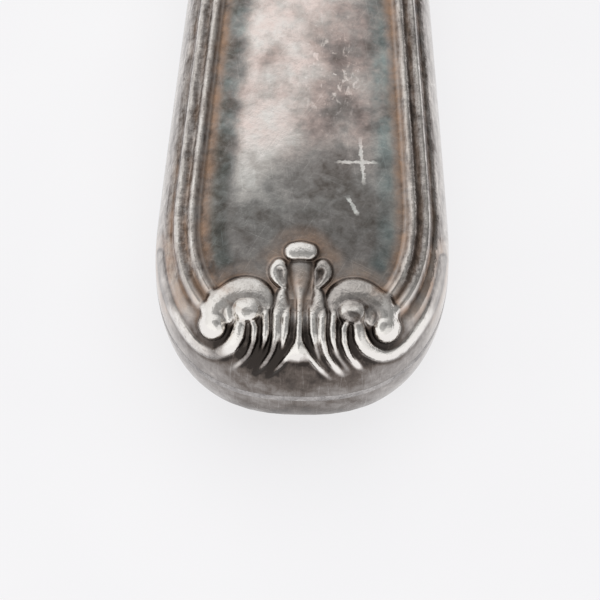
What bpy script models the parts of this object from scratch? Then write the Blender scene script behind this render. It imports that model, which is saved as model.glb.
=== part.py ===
"""Cake knife with a die-struck hollow silver handle and a serrated steel blade.

The knife lies flat. +X runs from the butt of the handle to the tip of the blade, +Y from the cutting
edge to the spine and +Z up. Lengths are in metres. Inside the script the handle's axis is the X axis
and a place along it is given as the distance from the butt.
"""

import math

import bmesh
import bpy
import numpy as np
from mathutils import Vector

# Handle outline, seen from above
HANDLE_LENGTH = 0.108
BUTT_WIDTH = 0.023
BUTT_DEPTH = 0.0138
BUTT_POWER = 2.45
NECK_WIDTH = 0.0146
TAPER_POWER = 1.1

# Handle section
BUTT_THICKNESS = 0.0120
NECK_THICKNESS = 0.0096
RIM_ROUND = 0.0030
RIM_POWER = 2.2
CROWN = 0.0008
SHELL_WALL = 0.0008

# Thread border: a plain rim, two raised threads and a sunk panel
RIM_BAND = 0.00155
THREAD_WIDTH = 0.00122
THREAD_COUNT = 2
THREAD_HEIGHT = 0.00030
GROOVE_DEPTH = 0.00015
PANEL_SINK = 0.00015

# Scroll ornament at the butt, laid out on a plane tilted towards the end of the handle.
# A place is (share of the half width across, rise up the plane); half sizes are along, across, out.
ORNAMENT_TILT = math.radians(55)
THREAD_END = 0.0068
BOSS_PLACE = (0.555, 0.0055)
BOSS_HALF_SIZES = (0.00140, 0.00120, 0.00100)
TOP_LOBE_PLACE = (0.0, 0.0110)
TOP_LOBE_HALF_SIZES = (0.00085, 0.00130, 0.00055)
SIDE_LOBE_PLACE = (0.146, 0.0093)
SIDE_LOBE_HALF_SIZES = (0.00120, 0.00075, 0.00055)
ROLL_SINK = 0.10

# Rolls of the ornament on one side, as stops (share across, rise, radius)
HOOD_ROLL = (
    (0.104, 0.0072, 0.00050),
    (0.217, 0.0077, 0.00085),
    (0.339, 0.0078, 0.00105),
    (0.461, 0.0072, 0.00100),
    (0.539, 0.0062, 0.00100),
)
CRADLE_ROLL = (
    (0.330, 0.0065, 0.00090),
    (0.330, 0.0053, 0.00070),
    (0.374, 0.0042, 0.00058),
    (0.478, 0.0034, 0.00052),
    (0.609, 0.0036, 0.00046),
    (0.704, 0.0044, 0.00030),
)
RIB_ROLL = (
    (0.270, 0.0060, 0.00030),
    (0.278, 0.0044, 0.00030),
    (0.365, 0.0026, 0.00025),
)
FLUTE_ROLL = (
    (0.087, 0.0064, 0.00040),
    (0.113, 0.0046, 0.00045),
    (0.174, 0.0032, 0.00040),
    (0.287, 0.0020, 0.00028),
)
TONGUE_ROLL = (
    (0.0, 0.0088, 0.00030),
    (0.0, 0.0062, 0.00040),
    (0.0, 0.0040, 0.00060),
    (0.0, 0.0026, 0.00040),
)

# Joints and fillings
SEAM_THICKNESS = 0.00030
SEAM_PROUD = 0.00006
FLAT_GAP = 0.00010
FIT_GAP = 0.00030

# Ferrule and bolster. The ferrule's moulding is (share of its length, share of its waist depth).
FERRULE_LENGTH = 0.0075
FERRULE_PROUD = 0.0007
FERRULE_WAIST = 0.0012
FERRULE_POWER = 2.6
FERRULE_MOULDING = (
    (0.00, 0.25),
    (0.05, 0.00),
    (0.18, 0.00),
    (0.28, 0.25),
    (0.38, 0.85),
    (0.62, 1.00),
    (0.72, 0.75),
    (0.82, 0.30),
    (0.95, 0.25),
    (1.00, 0.55),
)
SPIGOT_LENGTH = 0.0030
BOLSTER_LENGTH = 0.0100
BOLSTER_STEP = 0.0003
BOLSTER_LIP = 0.0006

# Blade and tang
BLADE_LENGTH = 0.168
BLADE_THICKNESS = 0.0018
BLADE_ROOT_WIDTH = 0.0124
EDGE_THICKNESS = 0.0004
SPINE_RISE = 0.0110
EDGE_DROP = 0.0165
HEEL_LENGTH = 0.026
TIP_LENGTH = 0.060
TIP_HEIGHT = 0.0030
TIP_BLUNT = 0.0012
GRIND_WIDTH = 0.0120
TOOTH_PITCH = 0.0040
TOOTH_DEPTH = 0.0006
TANG_WIDTH = 0.0080
TANG_END_WIDTH = 0.0050
TANG_LENGTH = 0.060
SHOULDER = 0.0003

# Mesh fineness
END_ROWS = 16
SIDE_ROWS = 12
RIM_COLUMNS = 4
THREAD_COLUMNS = 4
PANEL_COLUMNS = 8
OVAL_POINTS = 32
TOOTH_ROWS = 5
WELD = 1e-6

# Places worked out from the sizes above
THREAD_STOP = RIM_BAND + THREAD_COUNT * THREAD_WIDTH
PANEL_EDGE = THREAD_STOP + THREAD_WIDTH / 2
SEAM_FACE = SEAM_THICKNESS / 2 + FLAT_GAP
SOLDER_START = HANDLE_LENGTH + FLAT_GAP
FERRULE_START = SOLDER_START + SEAM_THICKNESS + FLAT_GAP
BOLSTER_START = FERRULE_START + FERRULE_LENGTH + FLAT_GAP
BLADE_START = BOLSTER_START + BOLSTER_LENGTH + FLAT_GAP
BLADE_END = BLADE_START + BLADE_LENGTH

SILVER = ("silver", (0.56, 0.53, 0.50), 0.28, 1.0)
SOLDER = ("solder", (0.40, 0.37, 0.34), 0.42, 1.0)
STEEL = ("steel", (0.62, 0.63, 0.64), 0.24, 1.0)
PITCH = ("pitch", (0.12, 0.07, 0.04), 0.75, 0.0)


def smooth_step(low, high, value):
    """Ease from 0 at low to 1 at high."""
    share = np.clip((value - low) / (high - low), 0.0, 1.0)
    return share * share * (3.0 - 2.0 * share)


# Scene, materials and objects


def clear_scene():
    for obj in list(bpy.data.objects):
        bpy.data.objects.remove(obj, do_unlink=True)


def new_collection(name):
    group = bpy.data.collections.new(name)
    bpy.context.scene.collection.children.link(group)
    return group


def make_material(spec):
    name, colour, roughness, metallic = spec
    material = bpy.data.materials.new(name)
    material.use_nodes = True
    shader = material.node_tree.nodes["Principled BSDF"]
    shader.inputs["Base Color"].default_value = (*colour, 1.0)
    shader.inputs["Roughness"].default_value = roughness
    shader.inputs["Metallic"].default_value = metallic
    return material


def object_from(bm, name, group):
    """Close the bmesh, face it outwards and link it as a named object."""
    bmesh.ops.remove_doubles(bm, verts=bm.verts, dist=WELD)
    bmesh.ops.recalc_face_normals(bm, faces=bm.faces)
    mesh = bpy.data.meshes.new(name)
    bm.to_mesh(mesh)
    bm.free()
    obj = bpy.data.objects.new(name, mesh)
    group.objects.link(obj)
    return obj


def make_cutter(obj):
    obj.hide_render = True
    obj.display_type = "WIRE"
    return obj


def boolean(obj, other, operation):
    modifier = obj.modifiers.new(operation.lower(), "BOOLEAN")
    modifier.operation = operation
    modifier.solver = "EXACT"
    if isinstance(other, bpy.types.Collection):
        modifier.operand_type = "COLLECTION"
        modifier.collection = other
    else:
        modifier.object = other


def settled_mesh(obj):
    """The object's mesh with its modifiers worked in."""
    bpy.context.view_layer.update()
    graph = bpy.context.evaluated_depsgraph_get()
    return bpy.data.meshes.new_from_object(obj.evaluated_get(graph))


def finish(obj, material, root):
    """Give a piece its material, smooth its round faces and hang it on the root."""
    obj.data.materials.clear()
    obj.data.materials.append(material)
    obj.data.shade_smooth()
    obj.data.set_sharp_from_angle(angle=math.radians(32))
    obj.parent = root


def loft(rings, name, group):
    """A closed body through rings of points, capped at both ends."""
    bm = bmesh.new()
    loops = [[bm.verts.new(point) for point in ring] for ring in rings]
    count = len(loops[0])
    for lower, upper in zip(loops, loops[1:]):
        for i in range(count):
            j = (i + 1) % count
            bm.faces.new((lower[i], lower[j], upper[j], upper[i]))
    bm.faces.new(list(reversed(loops[0])))
    bm.faces.new(loops[-1])
    return object_from(bm, name, group)


def oval_ring(x, half_y, half_z, power):
    ring = []
    for i in range(OVAL_POINTS):
        angle = 2 * math.pi * i / OVAL_POINTS
        y = half_y * math.copysign(abs(math.cos(angle)) ** (2 / power), math.cos(angle))
        z = half_z * math.copysign(abs(math.sin(angle)) ** (2 / power), math.sin(angle))
        ring.append((x, y, z))
    return ring


# Handle surface


def half_width(along):
    """Half width of the handle at a distance from the butt."""
    share = np.clip((along - BUTT_DEPTH) / (HANDLE_LENGTH - BUTT_DEPTH), 0.0, 1.0)
    return BUTT_WIDTH / 2 + (NECK_WIDTH - BUTT_WIDTH) / 2 * share**TAPER_POWER


def half_thickness(along):
    share = np.clip((along - BUTT_DEPTH) / (HANDLE_LENGTH - BUTT_DEPTH), 0.0, 1.0)
    return (BUTT_THICKNESS + (NECK_THICKNESS - BUTT_THICKNESS) * share) / 2


def half_outline(end_rows, side_rows):
    """Points (along, across) from the middle of the butt to one side of the mouth."""
    turn = np.linspace(0.0, math.pi / 2, end_rows + 1)
    along = BUTT_DEPTH * (1 - np.cos(turn).clip(0) ** (2 / BUTT_POWER))
    across = BUTT_WIDTH / 2 * np.sin(turn) ** (2 / BUTT_POWER)
    side = np.linspace(BUTT_DEPTH, HANDLE_LENGTH, side_rows + 1)[1:]
    return np.column_stack([np.append(along, side), np.append(across, half_width(side))])


def inward_normals(outline):
    """Directions square to the outline, pointing into the handle."""
    step = np.gradient(outline, axis=0)
    step[0] = (0.0, 1.0)
    step[-1] = (1.0, 0.0)
    normal = np.column_stack([step[:, 1], -step[:, 0]])
    return normal / np.linalg.norm(normal, axis=1)[:, None]


FINE_OUTLINE = half_outline(160, 160)


def inset_of(along, across):
    """Distance of plan points from the handle's outline."""
    spots = np.column_stack([np.ravel(along), np.abs(np.ravel(across))])
    gaps = np.linalg.norm(spots[:, None, :] - FINE_OUTLINE[None, :, :], axis=2)
    return gaps.min(axis=1).reshape(np.shape(along))


def height_at(inset, along):
    """Height of the plain upper shell above the middle plane."""
    share = np.clip(inset / RIM_ROUND, 0.0, 1.0)
    rim = (half_thickness(along) - CROWN - SEAM_FACE) * (1 - (1 - share) ** RIM_POWER) ** (1 / RIM_POWER)
    middle = np.clip(inset / (BUTT_WIDTH / 2), 0.0, 1.0)
    return SEAM_FACE + rim + CROWN * (1 - (1 - middle) ** 2)


def thread_relief(inset):
    """Rise of the threads, with the grooves beside them and the sunk panel."""
    place = (inset - RIM_BAND) / THREAD_WIDTH
    round_top = np.sqrt(np.clip(1 - (2 * (place % 1.0) - 1) ** 2, 0.0, 1.0))
    threads = (THREAD_HEIGHT + GROOVE_DEPTH) * round_top - GROOVE_DEPTH
    outside = -GROOVE_DEPTH * smooth_step(RIM_BAND - THREAD_WIDTH / 2, RIM_BAND, inset)
    inside = -GROOVE_DEPTH + (GROOVE_DEPTH - PANEL_SINK) * smooth_step(THREAD_STOP, PANEL_EDGE, inset)
    return np.where(place < 0, outside, np.where(place < THREAD_COUNT, threads, inside))


def column_insets():
    """Insets of the grid columns from the seam to the edge of the panel."""
    rim = RIM_BAND * np.linspace(0.0, 1.0, RIM_COLUMNS + 1)[:-1] ** 1.5
    threads = np.linspace(RIM_BAND, THREAD_STOP, THREAD_COUNT * THREAD_COLUMNS + 1)
    return np.concatenate([rim, threads, [PANEL_EDGE]])


def half_body_points(insets, wall, end_rows, side_rows, panel_columns):
    """Grid of points (row, column) over the upper half of the handle, set in by a wall."""
    outline = half_outline(end_rows, side_rows)
    normal = inward_normals(outline)
    edge = outline[:, None, :] + normal[:, None, :] * (insets + wall)[None, :, None]
    edge[0, :, 1] = 0.0
    half_panel = edge[:, -1, 1][:, None] * np.linspace(1.0, -1.0, panel_columns + 1)[None, 1:-1]
    along = edge[:, -1, 0][:, None].repeat(panel_columns - 1, axis=1)
    panel = np.stack([along, half_panel], axis=2)
    mirrored = edge[:, ::-1] * (1.0, -1.0)
    plan = np.concatenate([edge, panel, mirrored], axis=1)
    inset = inset_of(plan[..., 0], plan[..., 1])
    inset[:, 0] = wall
    inset[:, -1] = wall
    return plan, inset


def grid_normals(points):
    """Outward normals of a grid of points whose first row is folded shut."""
    across = np.gradient(points, axis=1)
    along = np.gradient(points, axis=0)
    normal = np.cross(across, along)
    size = np.linalg.norm(normal, axis=2)
    size[size < 1e-18] = 1.0
    normal = normal / size[..., None]
    normal[normal[..., 2] < 0] *= -1
    normal[0, :, 1] = 0.0
    return normal


def closed_half(points, floor, name, group):
    """Close a folded grid of points with a flat face at the seam and another at the mouth."""
    rows, columns = points.shape[:2]
    bm = bmesh.new()
    bmesh.ops.create_grid(bm, x_segments=columns - 1, y_segments=rows - 1, size=1.0)
    bm.verts.ensure_lookup_table()
    for row in range(rows):
        for column in range(columns):
            bm.verts[row * columns + column].co = points[row, column]
    grid = list(bm.verts)
    left = [grid[row * columns] for row in range(rows)]
    right = [grid[row * columns + columns - 1] for row in range(rows)]
    for vert in left + right:
        vert.co.z = floor
    bm.faces.new(left[::-1] + right[1:])
    bm.faces.new(grid[-columns:])
    bmesh.ops.weld_verts(bm, targetmap={right[0]: left[0]})
    return object_from(bm, name, group)


def outer_half(group):
    """The upper half of the handle as a solid, threads included."""
    plan, inset = half_body_points(column_insets(), 0.0, END_ROWS, SIDE_ROWS, PANEL_COLUMNS)
    height = height_at(inset, plan[..., 0])
    points = np.dstack([plan, height])
    rise = plan[..., 0] * math.sin(ORNAMENT_TILT) + height * math.cos(ORNAMENT_TILT)
    keep = smooth_step(THREAD_END - THREAD_WIDTH, THREAD_END + THREAD_WIDTH, rise)
    relief = thread_relief(inset) * keep
    relief[:, 0] = 0.0
    relief[:, -1] = 0.0
    moved = points + grid_normals(points) * relief[..., None]
    moved[-1, :, 0] = HANDLE_LENGTH
    return closed_half(moved, SEAM_FACE, "half_handle", group)


def inner_half(wall, floor, mouth, name, group):
    """The upper half of the handle's inside, a wall thickness below the plain outer surface."""
    insets = RIM_ROUND * np.array([0.0, 0.05, 0.2, 0.45, 0.75, 1.0])
    plan, inset = half_body_points(insets, wall, END_ROWS // 2, SIDE_ROWS // 2, 4)
    height = height_at(np.clip(inset - wall, 0.0, None), plan[..., 0])
    share = (height - SEAM_FACE) / (half_thickness(plan[..., 0]) - SEAM_FACE)
    points = np.dstack([plan, height - wall * share])
    points[-1, :, 0] = mouth
    return closed_half(points, floor, name, group)


# Ornament


def surface_point(share, rise):
    """Point and outward normal of the plain shell under a place on the ornament's tilted plane."""
    across = share * BUTT_WIDTH / 2
    along = np.linspace(0.0, BUTT_DEPTH * 1.6, 400)
    inset = inset_of(along, np.full_like(along, across))
    inside = along > np.interp(abs(across), FINE_OUTLINE[:160, 1], FINE_OUTLINE[:160, 0])
    height = np.where(inside, height_at(inset, along), 0.0)
    seen = along * math.sin(ORNAMENT_TILT) + height * math.cos(ORNAMENT_TILT)
    found = along[inside][np.argmin(np.abs(seen[inside] - rise))]
    step = 1e-4

    def level(x, y):
        return float(height_at(inset_of(np.array([x]), np.array([y])), np.array([x]))[0])

    slope_x = (level(found + step, across) - level(found - step, across)) / (2 * step)
    slope_y = (level(found, across + step) - level(found, across - step)) / (2 * step)
    normal = Vector((-slope_x, -slope_y, 1.0)).normalized()
    return Vector((found, across, level(found, across))), normal


def ornament_boss(place, half_sizes, name, group):
    """A rounded boss whose middle lies on the shell."""
    point, normal = surface_point(*place)
    bm = bmesh.new()
    bmesh.ops.create_uvsphere(bm, u_segments=12, v_segments=8, radius=1.0)
    bmesh.ops.scale(bm, vec=half_sizes, verts=bm.verts)
    obj = object_from(bm, name, group)
    obj.rotation_mode = "QUATERNION"
    obj.rotation_quaternion = Vector((0.0, 0.0, 1.0)).rotation_difference(normal)
    obj.location = point
    return make_cutter(obj)


def ornament_roll(stops, side, name, group):
    """A tapering roll along one side of the shell through its stops."""
    curve = bpy.data.curves.new(name, "CURVE")
    curve.dimensions = "3D"
    curve.bevel_depth = 1.0
    curve.bevel_resolution = 2
    curve.use_fill_caps = True
    curve.resolution_u = 3
    spline = curve.splines.new("BEZIER")
    spline.bezier_points.add(len(stops) - 1)
    for point, (share, rise, radius) in zip(spline.bezier_points, stops):
        place, normal = surface_point(side * share, rise)
        point.co = place - normal * radius * ROLL_SINK
        point.radius = radius
        point.handle_left_type = "AUTO"
        point.handle_right_type = "AUTO"
    source = bpy.data.objects.new(name, curve)
    group.objects.link(source)
    mesh = settled_mesh(source)
    bpy.data.objects.remove(source, do_unlink=True)
    bm = bmesh.new()
    bm.from_mesh(mesh)
    return make_cutter(object_from(bm, name, group))


def add_ornament(group):
    """Two mirrored scrolls with end bosses, a tongue between them and three lobes above."""
    rolls = (("hood", HOOD_ROLL), ("cradle", CRADLE_ROLL), ("rib", RIB_ROLL), ("flute", FLUTE_ROLL))
    bosses = (("boss", BOSS_PLACE, BOSS_HALF_SIZES), ("lobe", SIDE_LOBE_PLACE, SIDE_LOBE_HALF_SIZES))
    for side, hand in ((1, "left"), (-1, "right")):
        for label, stops in rolls:
            ornament_roll(stops, side, f"{label}_{hand}", group)
        for label, (share, rise), half_sizes in bosses:
            ornament_boss((side * share, rise), half_sizes, f"{label}_{hand}", group)
    ornament_roll(TONGUE_ROLL, 1, "tongue", group)
    ornament_boss(TOP_LOBE_PLACE, TOP_LOBE_HALF_SIZES, "lobe_top", group)


# Pieces


def handle_shells(group, cutters, ornament):
    """Front and back half shells, one mesh turned over about the handle's axis."""
    half = outer_half(cutters)
    add_ornament(ornament)
    cavity = make_cutter(inner_half(SHELL_WALL, -SEAM_FACE, HANDLE_LENGTH + SHELL_WALL, "cavity", cutters))
    boolean(half, ornament, "UNION")
    boolean(half, cavity, "DIFFERENCE")
    mesh = settled_mesh(half)
    mesh.name = "handle_shell"
    bpy.data.objects.remove(half, do_unlink=True)
    front = bpy.data.objects.new("handle_front_shell", mesh)
    back = bpy.data.objects.new("handle_back_shell", mesh)
    back.rotation_euler = (math.pi, 0.0, 0.0)
    group.objects.link(front)
    group.objects.link(back)
    return front, back


def seam_solder(group):
    """The flat line of solder between the rims of the two shells."""
    outline = half_outline(END_ROWS, SIDE_ROWS)
    normal = inward_normals(outline)
    outer = outline - normal * SEAM_PROUD
    inner = outline + normal * SHELL_WALL
    path = np.vstack([outer[::-1], outer[1:] * (1, -1), inner[:0:-1] * (1, -1), inner])
    curve = bpy.data.curves.new("seam_solder", "CURVE")
    curve.dimensions = "2D"
    curve.fill_mode = "BOTH"
    curve.extrude = SEAM_THICKNESS / 2
    spline = curve.splines.new("POLY")
    spline.points.add(len(path) - 1)
    for point, (along, across) in zip(spline.points, path):
        point.co = (along, across, 0.0, 1.0)
    spline.use_cyclic_u = True
    source = bpy.data.objects.new("seam_source", curve)
    group.objects.link(source)
    mesh = settled_mesh(source)
    bpy.data.objects.remove(source, do_unlink=True)
    bm = bmesh.new()
    bm.from_mesh(mesh)
    return object_from(bm, "seam_solder", group)


def box_ring(x, half_y, half_z):
    return [(x, half_y, half_z), (x, -half_y, half_z), (x, -half_y, -half_z), (x, half_y, -half_z)]


def spigot_half_sizes():
    """Half sizes of the ferrule's spigot, which enters the shells' mouth."""
    inset = SHELL_WALL + FIT_GAP
    return NECK_WIDTH / 2 - inset, NECK_THICKNESS / 2 - CROWN - inset


def ferrule_solder(group, cutters):
    """The ring of solder between the shells' mouth and the ferrule."""
    half_y = NECK_WIDTH / 2 + SEAM_PROUD
    half_z = NECK_THICKNESS / 2 + SEAM_PROUD
    hole_y, hole_z = spigot_half_sizes()
    ends = (SOLDER_START, SOLDER_START + SEAM_THICKNESS)
    ring = loft([oval_ring(x, half_y, half_z, FERRULE_POWER) for x in ends], "ferrule_solder", group)
    hole_ends = (ends[0] - FIT_GAP, ends[1] + FIT_GAP)
    hole_rings = [oval_ring(x, hole_y + FIT_GAP, hole_z + FIT_GAP, 2.0) for x in hole_ends]
    boolean(ring, make_cutter(loft(hole_rings, "solder_hole", cutters)), "DIFFERENCE")
    return ring


def tang_slot(cutters):
    """The slot through ferrule and bolster for the root of the tang."""
    half_y = TANG_WIDTH / 2 + FIT_GAP
    half_z = BLADE_THICKNESS / 2 + FIT_GAP
    ends = (FERRULE_START - SPIGOT_LENGTH - FIT_GAP, BLADE_START + FIT_GAP)
    return make_cutter(loft([box_ring(x, half_y, half_z) for x in ends], "tang_slot", cutters))


def ferrule_half_sizes(depth):
    """Half sizes of the ferrule where its moulding has a share of the waist's depth."""
    proud = FERRULE_PROUD - FERRULE_WAIST * depth
    return NECK_WIDTH / 2 + proud, NECK_THICKNESS / 2 + proud


def ferrule(group, slot):
    """The cap of the handle: a spigot, a moulded collar and a closed front with a slot."""
    spigot = spigot_half_sizes()
    ends = (FERRULE_START - SPIGOT_LENGTH, FERRULE_START)
    rings = [oval_ring(x, *spigot, 2.0) for x in ends]
    for share, depth in FERRULE_MOULDING:
        x = FERRULE_START + FERRULE_LENGTH * share
        rings.append(oval_ring(x, *ferrule_half_sizes(depth), FERRULE_POWER))
    obj = loft(rings, "ferrule", group)
    boolean(obj, slot, "DIFFERENCE")
    return obj


def bolster(group, slot):
    """The collar that leads from the ferrule's oval down to the thin blade."""
    back_y, back_z = (size - BOLSTER_STEP for size in ferrule_half_sizes(FERRULE_MOULDING[-1][1]))
    front_y = BLADE_ROOT_WIDTH / 2 + BOLSTER_LIP
    front_z = BLADE_THICKNESS / 2 + BOLSTER_LIP
    rings = []
    for share in np.linspace(0.0, 1.0, 9):
        half_y = back_y + (front_y - back_y) * share
        half_z = back_z + (front_z - back_z) * smooth_step(0.0, 1.0, share)
        x = BOLSTER_START + BOLSTER_LENGTH * share
        rings.append(oval_ring(x, half_y, half_z, FERRULE_POWER + 1.4 * share))
    obj = loft(rings, "bolster", group)
    boolean(obj, slot, "DIFFERENCE")
    return obj


def blade_ring(x, spine, edge, grind, edge_half):
    half = BLADE_THICKNESS / 2
    return [
        (x, spine, half),
        (x, grind, half),
        (x, edge, edge_half),
        (x, edge, -edge_half),
        (x, grind, -half),
        (x, spine, -half),
    ]


def tang_rings():
    """Rings of the flat tang from its end to the blade's shoulder."""
    half = BLADE_THICKNESS / 2
    rings = []
    for x, width in (
        (BLADE_START - TANG_LENGTH, TANG_END_WIDTH),
        (FERRULE_START - SPIGOT_LENGTH, TANG_WIDTH),
        (BLADE_START, TANG_WIDTH),
    ):
        rings.append(blade_ring(x, width / 2, -width / 2, -width / 4, half))
    return rings


def blade_rings():
    """Rings of the blade from the shoulder to the tip, toothed along the ground edge."""
    root = BLADE_ROOT_WIDTH / 2
    start = BLADE_START + SHOULDER
    count = round((BLADE_END - start) / TOOTH_PITCH * TOOTH_ROWS)
    rings = []
    for x in np.linspace(start, BLADE_END, count + 1):
        heel = smooth_step(BLADE_START, BLADE_START + HEEL_LENGTH, x)
        sweep = max(0.0, (x - (BLADE_END - TIP_LENGTH)) / TIP_LENGTH)
        spine_top = root + (SPINE_RISE - root) * heel
        spine = spine_top - (SPINE_RISE - TIP_HEIGHT) * sweep**2.6
        low = root + (EDGE_DROP - root) * heel
        edge = -low + (EDGE_DROP + TIP_HEIGHT) * (1 - math.sqrt(max(0.0, 1 - sweep**2.2)))
        edge = min(edge, spine - TIP_BLUNT)
        width = spine - edge
        wave = 0.5 - 0.5 * math.cos(2 * math.pi * (x - BLADE_START) / TOOTH_PITCH)
        bite = TOOTH_DEPTH * wave * heel * smooth_step(TIP_BLUNT, GRIND_WIDTH, width)
        ground = min(GRIND_WIDTH, width * 0.6)
        edge_half = (EDGE_THICKNESS + (BLADE_THICKNESS - EDGE_THICKNESS) * (1 - heel)) / 2
        rings.append(blade_ring(x, spine, edge + bite, edge + ground, edge_half))
    return rings


def pitch_filler(group, cutters):
    """The resin core: the shells' inside less a gap, with a socket for the tang."""
    mouth = FERRULE_START - SPIGOT_LENGTH - FIT_GAP
    half = inner_half(SHELL_WALL + FIT_GAP, 0.0, mouth, "pitch_filler", group)
    bm = bmesh.new()
    bm.from_mesh(half.data)
    bm.faces.ensure_lookup_table()
    flat = [face for face in bm.faces if all(abs(vert.co.z) < WELD for vert in face.verts)]
    bmesh.ops.delete(bm, geom=flat, context="FACES_ONLY")
    bm.to_mesh(half.data)
    bm.free()
    mirror = half.modifiers.new("other_half", "MIRROR")
    mirror.use_axis = (False, False, True)
    mirror.merge_threshold = WELD
    half_z = BLADE_THICKNESS / 2 + FIT_GAP
    socket = [
        box_ring(BLADE_START - TANG_LENGTH - FIT_GAP, TANG_END_WIDTH / 2 + FIT_GAP, half_z),
        box_ring(mouth + FIT_GAP, TANG_WIDTH / 2 + FIT_GAP, half_z),
    ]
    boolean(half, make_cutter(loft(socket, "tang_socket", cutters)), "DIFFERENCE")
    return half


def rest_on_floor(root, pieces):
    """Move the whole knife so that its box stands centred on the origin."""
    bpy.context.view_layer.update()
    graph = bpy.context.evaluated_depsgraph_get()
    corners = []
    for piece in pieces:
        shape = piece.evaluated_get(graph)
        corners += [shape.matrix_world @ vert.co for vert in shape.data.vertices]
    low = Vector([min(corner[axis] for corner in corners) for axis in range(3)])
    high = Vector([max(corner[axis] for corner in corners) for axis in range(3)])
    root.location = (-(low.x + high.x) / 2, -(low.y + high.y) / 2, -low.z)
    bpy.context.view_layer.update()


def build():
    clear_scene()
    group = new_collection("cake_knife")
    cutters = new_collection("cutters")
    ornament = new_collection("ornament")
    silver, solder, steel, pitch = (make_material(spec) for spec in (SILVER, SOLDER, STEEL, PITCH))
    root = bpy.data.objects.new("knife_axis", None)
    group.objects.link(root)
    slot = tang_slot(cutters)
    front, back = handle_shells(group, cutters, ornament)
    pieces = [
        (front, silver),
        (back, silver),
        (seam_solder(group), solder),
        (ferrule_solder(group, cutters), solder),
        (ferrule(group, slot), silver),
        (bolster(group, slot), steel),
        (loft(tang_rings() + blade_rings(), "blade", group), steel),
        (pitch_filler(group, cutters), pitch),
    ]
    for piece, material in pieces:
        finish(piece, material, root)
    for cutter in list(cutters.objects) + list(ornament.objects):
        cutter.parent = root
    rest_on_floor(root, [piece for piece, material in pieces])


build()
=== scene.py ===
"""Looks of a cake knife with a hollow, die-struck silver handle and a serrated steel blade.

Pieces are modelled in handle coordinates, in millimetres: along the handle from its butt, across it
towards the spine, and up from the seam between the two half shells. The ornament at the butt is laid
out on a plane tilted towards the end of the handle, as (across, rise).
"""

from math import atan, cos, pi, radians, sin, sqrt

import bmesh
import bpy
import numpy as np
from mathutils import Matrix, Vector


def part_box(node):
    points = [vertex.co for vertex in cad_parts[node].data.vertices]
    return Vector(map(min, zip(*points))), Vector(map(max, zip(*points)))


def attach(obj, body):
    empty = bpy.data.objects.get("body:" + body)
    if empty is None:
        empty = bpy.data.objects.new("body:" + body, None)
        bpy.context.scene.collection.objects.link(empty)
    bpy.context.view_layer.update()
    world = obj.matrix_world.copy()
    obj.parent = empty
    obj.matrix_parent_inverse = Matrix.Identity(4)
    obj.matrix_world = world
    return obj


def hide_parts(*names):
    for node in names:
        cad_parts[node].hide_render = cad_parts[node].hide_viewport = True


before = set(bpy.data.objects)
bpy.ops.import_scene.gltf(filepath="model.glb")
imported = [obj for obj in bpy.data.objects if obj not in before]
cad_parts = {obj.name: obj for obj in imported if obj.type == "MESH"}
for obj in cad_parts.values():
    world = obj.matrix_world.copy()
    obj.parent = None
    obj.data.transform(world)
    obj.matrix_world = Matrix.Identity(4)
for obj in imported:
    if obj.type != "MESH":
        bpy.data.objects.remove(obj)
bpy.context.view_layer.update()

MM = 0.001

# Places and sizes taken from the frame
shell_low, shell_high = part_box("handle_front_shell")
seam_low, seam_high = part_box("seam_solder")
BUTT = Vector((shell_low.x, (shell_low.y + shell_high.y) / 2, (seam_low.z + seam_high.z) / 2))
HANDLE_LENGTH = (shell_high.x - shell_low.x) / MM
BUTT_WIDTH = (shell_high.y - shell_low.y) / MM
SEAM_HALF = (seam_high.z - seam_low.z) / MM / 2

solder_low, solder_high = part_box("ferrule_solder")
ferrule_low, ferrule_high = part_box("ferrule")
bolster_low, bolster_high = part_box("bolster")
blade_low, blade_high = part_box("blade")


def along_of(x):
    """Place along the handle, in millimetres from its butt, of a place in the frame."""
    return (x - BUTT.x) / MM


def half_sizes(low, high):
    return (high.y - low.y) / MM / 2, (high.z - low.z) / MM / 2


JOINT_GAP = 0.1
SOLDER_GAP = JOINT_GAP / 5
SPIGOT_END = along_of(ferrule_low.x)
FERRULE_START = along_of(solder_high.x) + JOINT_GAP
FERRULE_END = along_of(ferrule_high.x)
BOLSTER_START = along_of(bolster_low.x)
BOLSTER_END = along_of(bolster_high.x)
TANG_START = along_of(blade_low.x)
BLADE_START = BOLSTER_END + JOINT_GAP
BLADE_END = along_of(blade_high.x)

# Handle curves, as in the solids
BUTT_DEPTH = 13.8
BUTT_POWER = 2.45
NECK_WIDTH = 14.6
TAPER_POWER = 1.1
BUTT_THICKNESS = 12.0
NECK_THICKNESS = 9.6
RIM_ROUND = 3.0
RIM_POWER = 2.2
CROWN = 0.8
SHELL_WALL = 0.8

# Solder line: how far it spreads over the shells to each side, how thin it is there, and its swell as
# a share of the solid's
SEAM_SPREAD = 0.32
SEAM_SKIN = 0.004
SEAM_SWELL = 0.2

# Thread border: plain rim, two threads, a narrow recess and the panel
RIM_BAND = 1.45
THREAD_WIDTH = 1.10
THREAD_HEIGHT = 0.18
GROOVE_DEPTH = 0.13
RECESS_DEPTH = 0.24
PANEL_SINK = 0.12
RIM_EASE = 0.5
RECESS_FALL = (0.0, 0.15)
RECESS_CLIMB = (0.2, 1.7)

# Rise at which each thread sets out from the ornament, and how far below and above it fades in
THREAD_ENDS = (6.2, 7.4)
THREAD_FADE = (0.6, 0.7)
THREAD_STOP = RIM_BAND + len(THREAD_ENDS) * THREAD_WIDTH
PANEL_EDGE = THREAD_STOP + THREAD_WIDTH / 2

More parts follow.
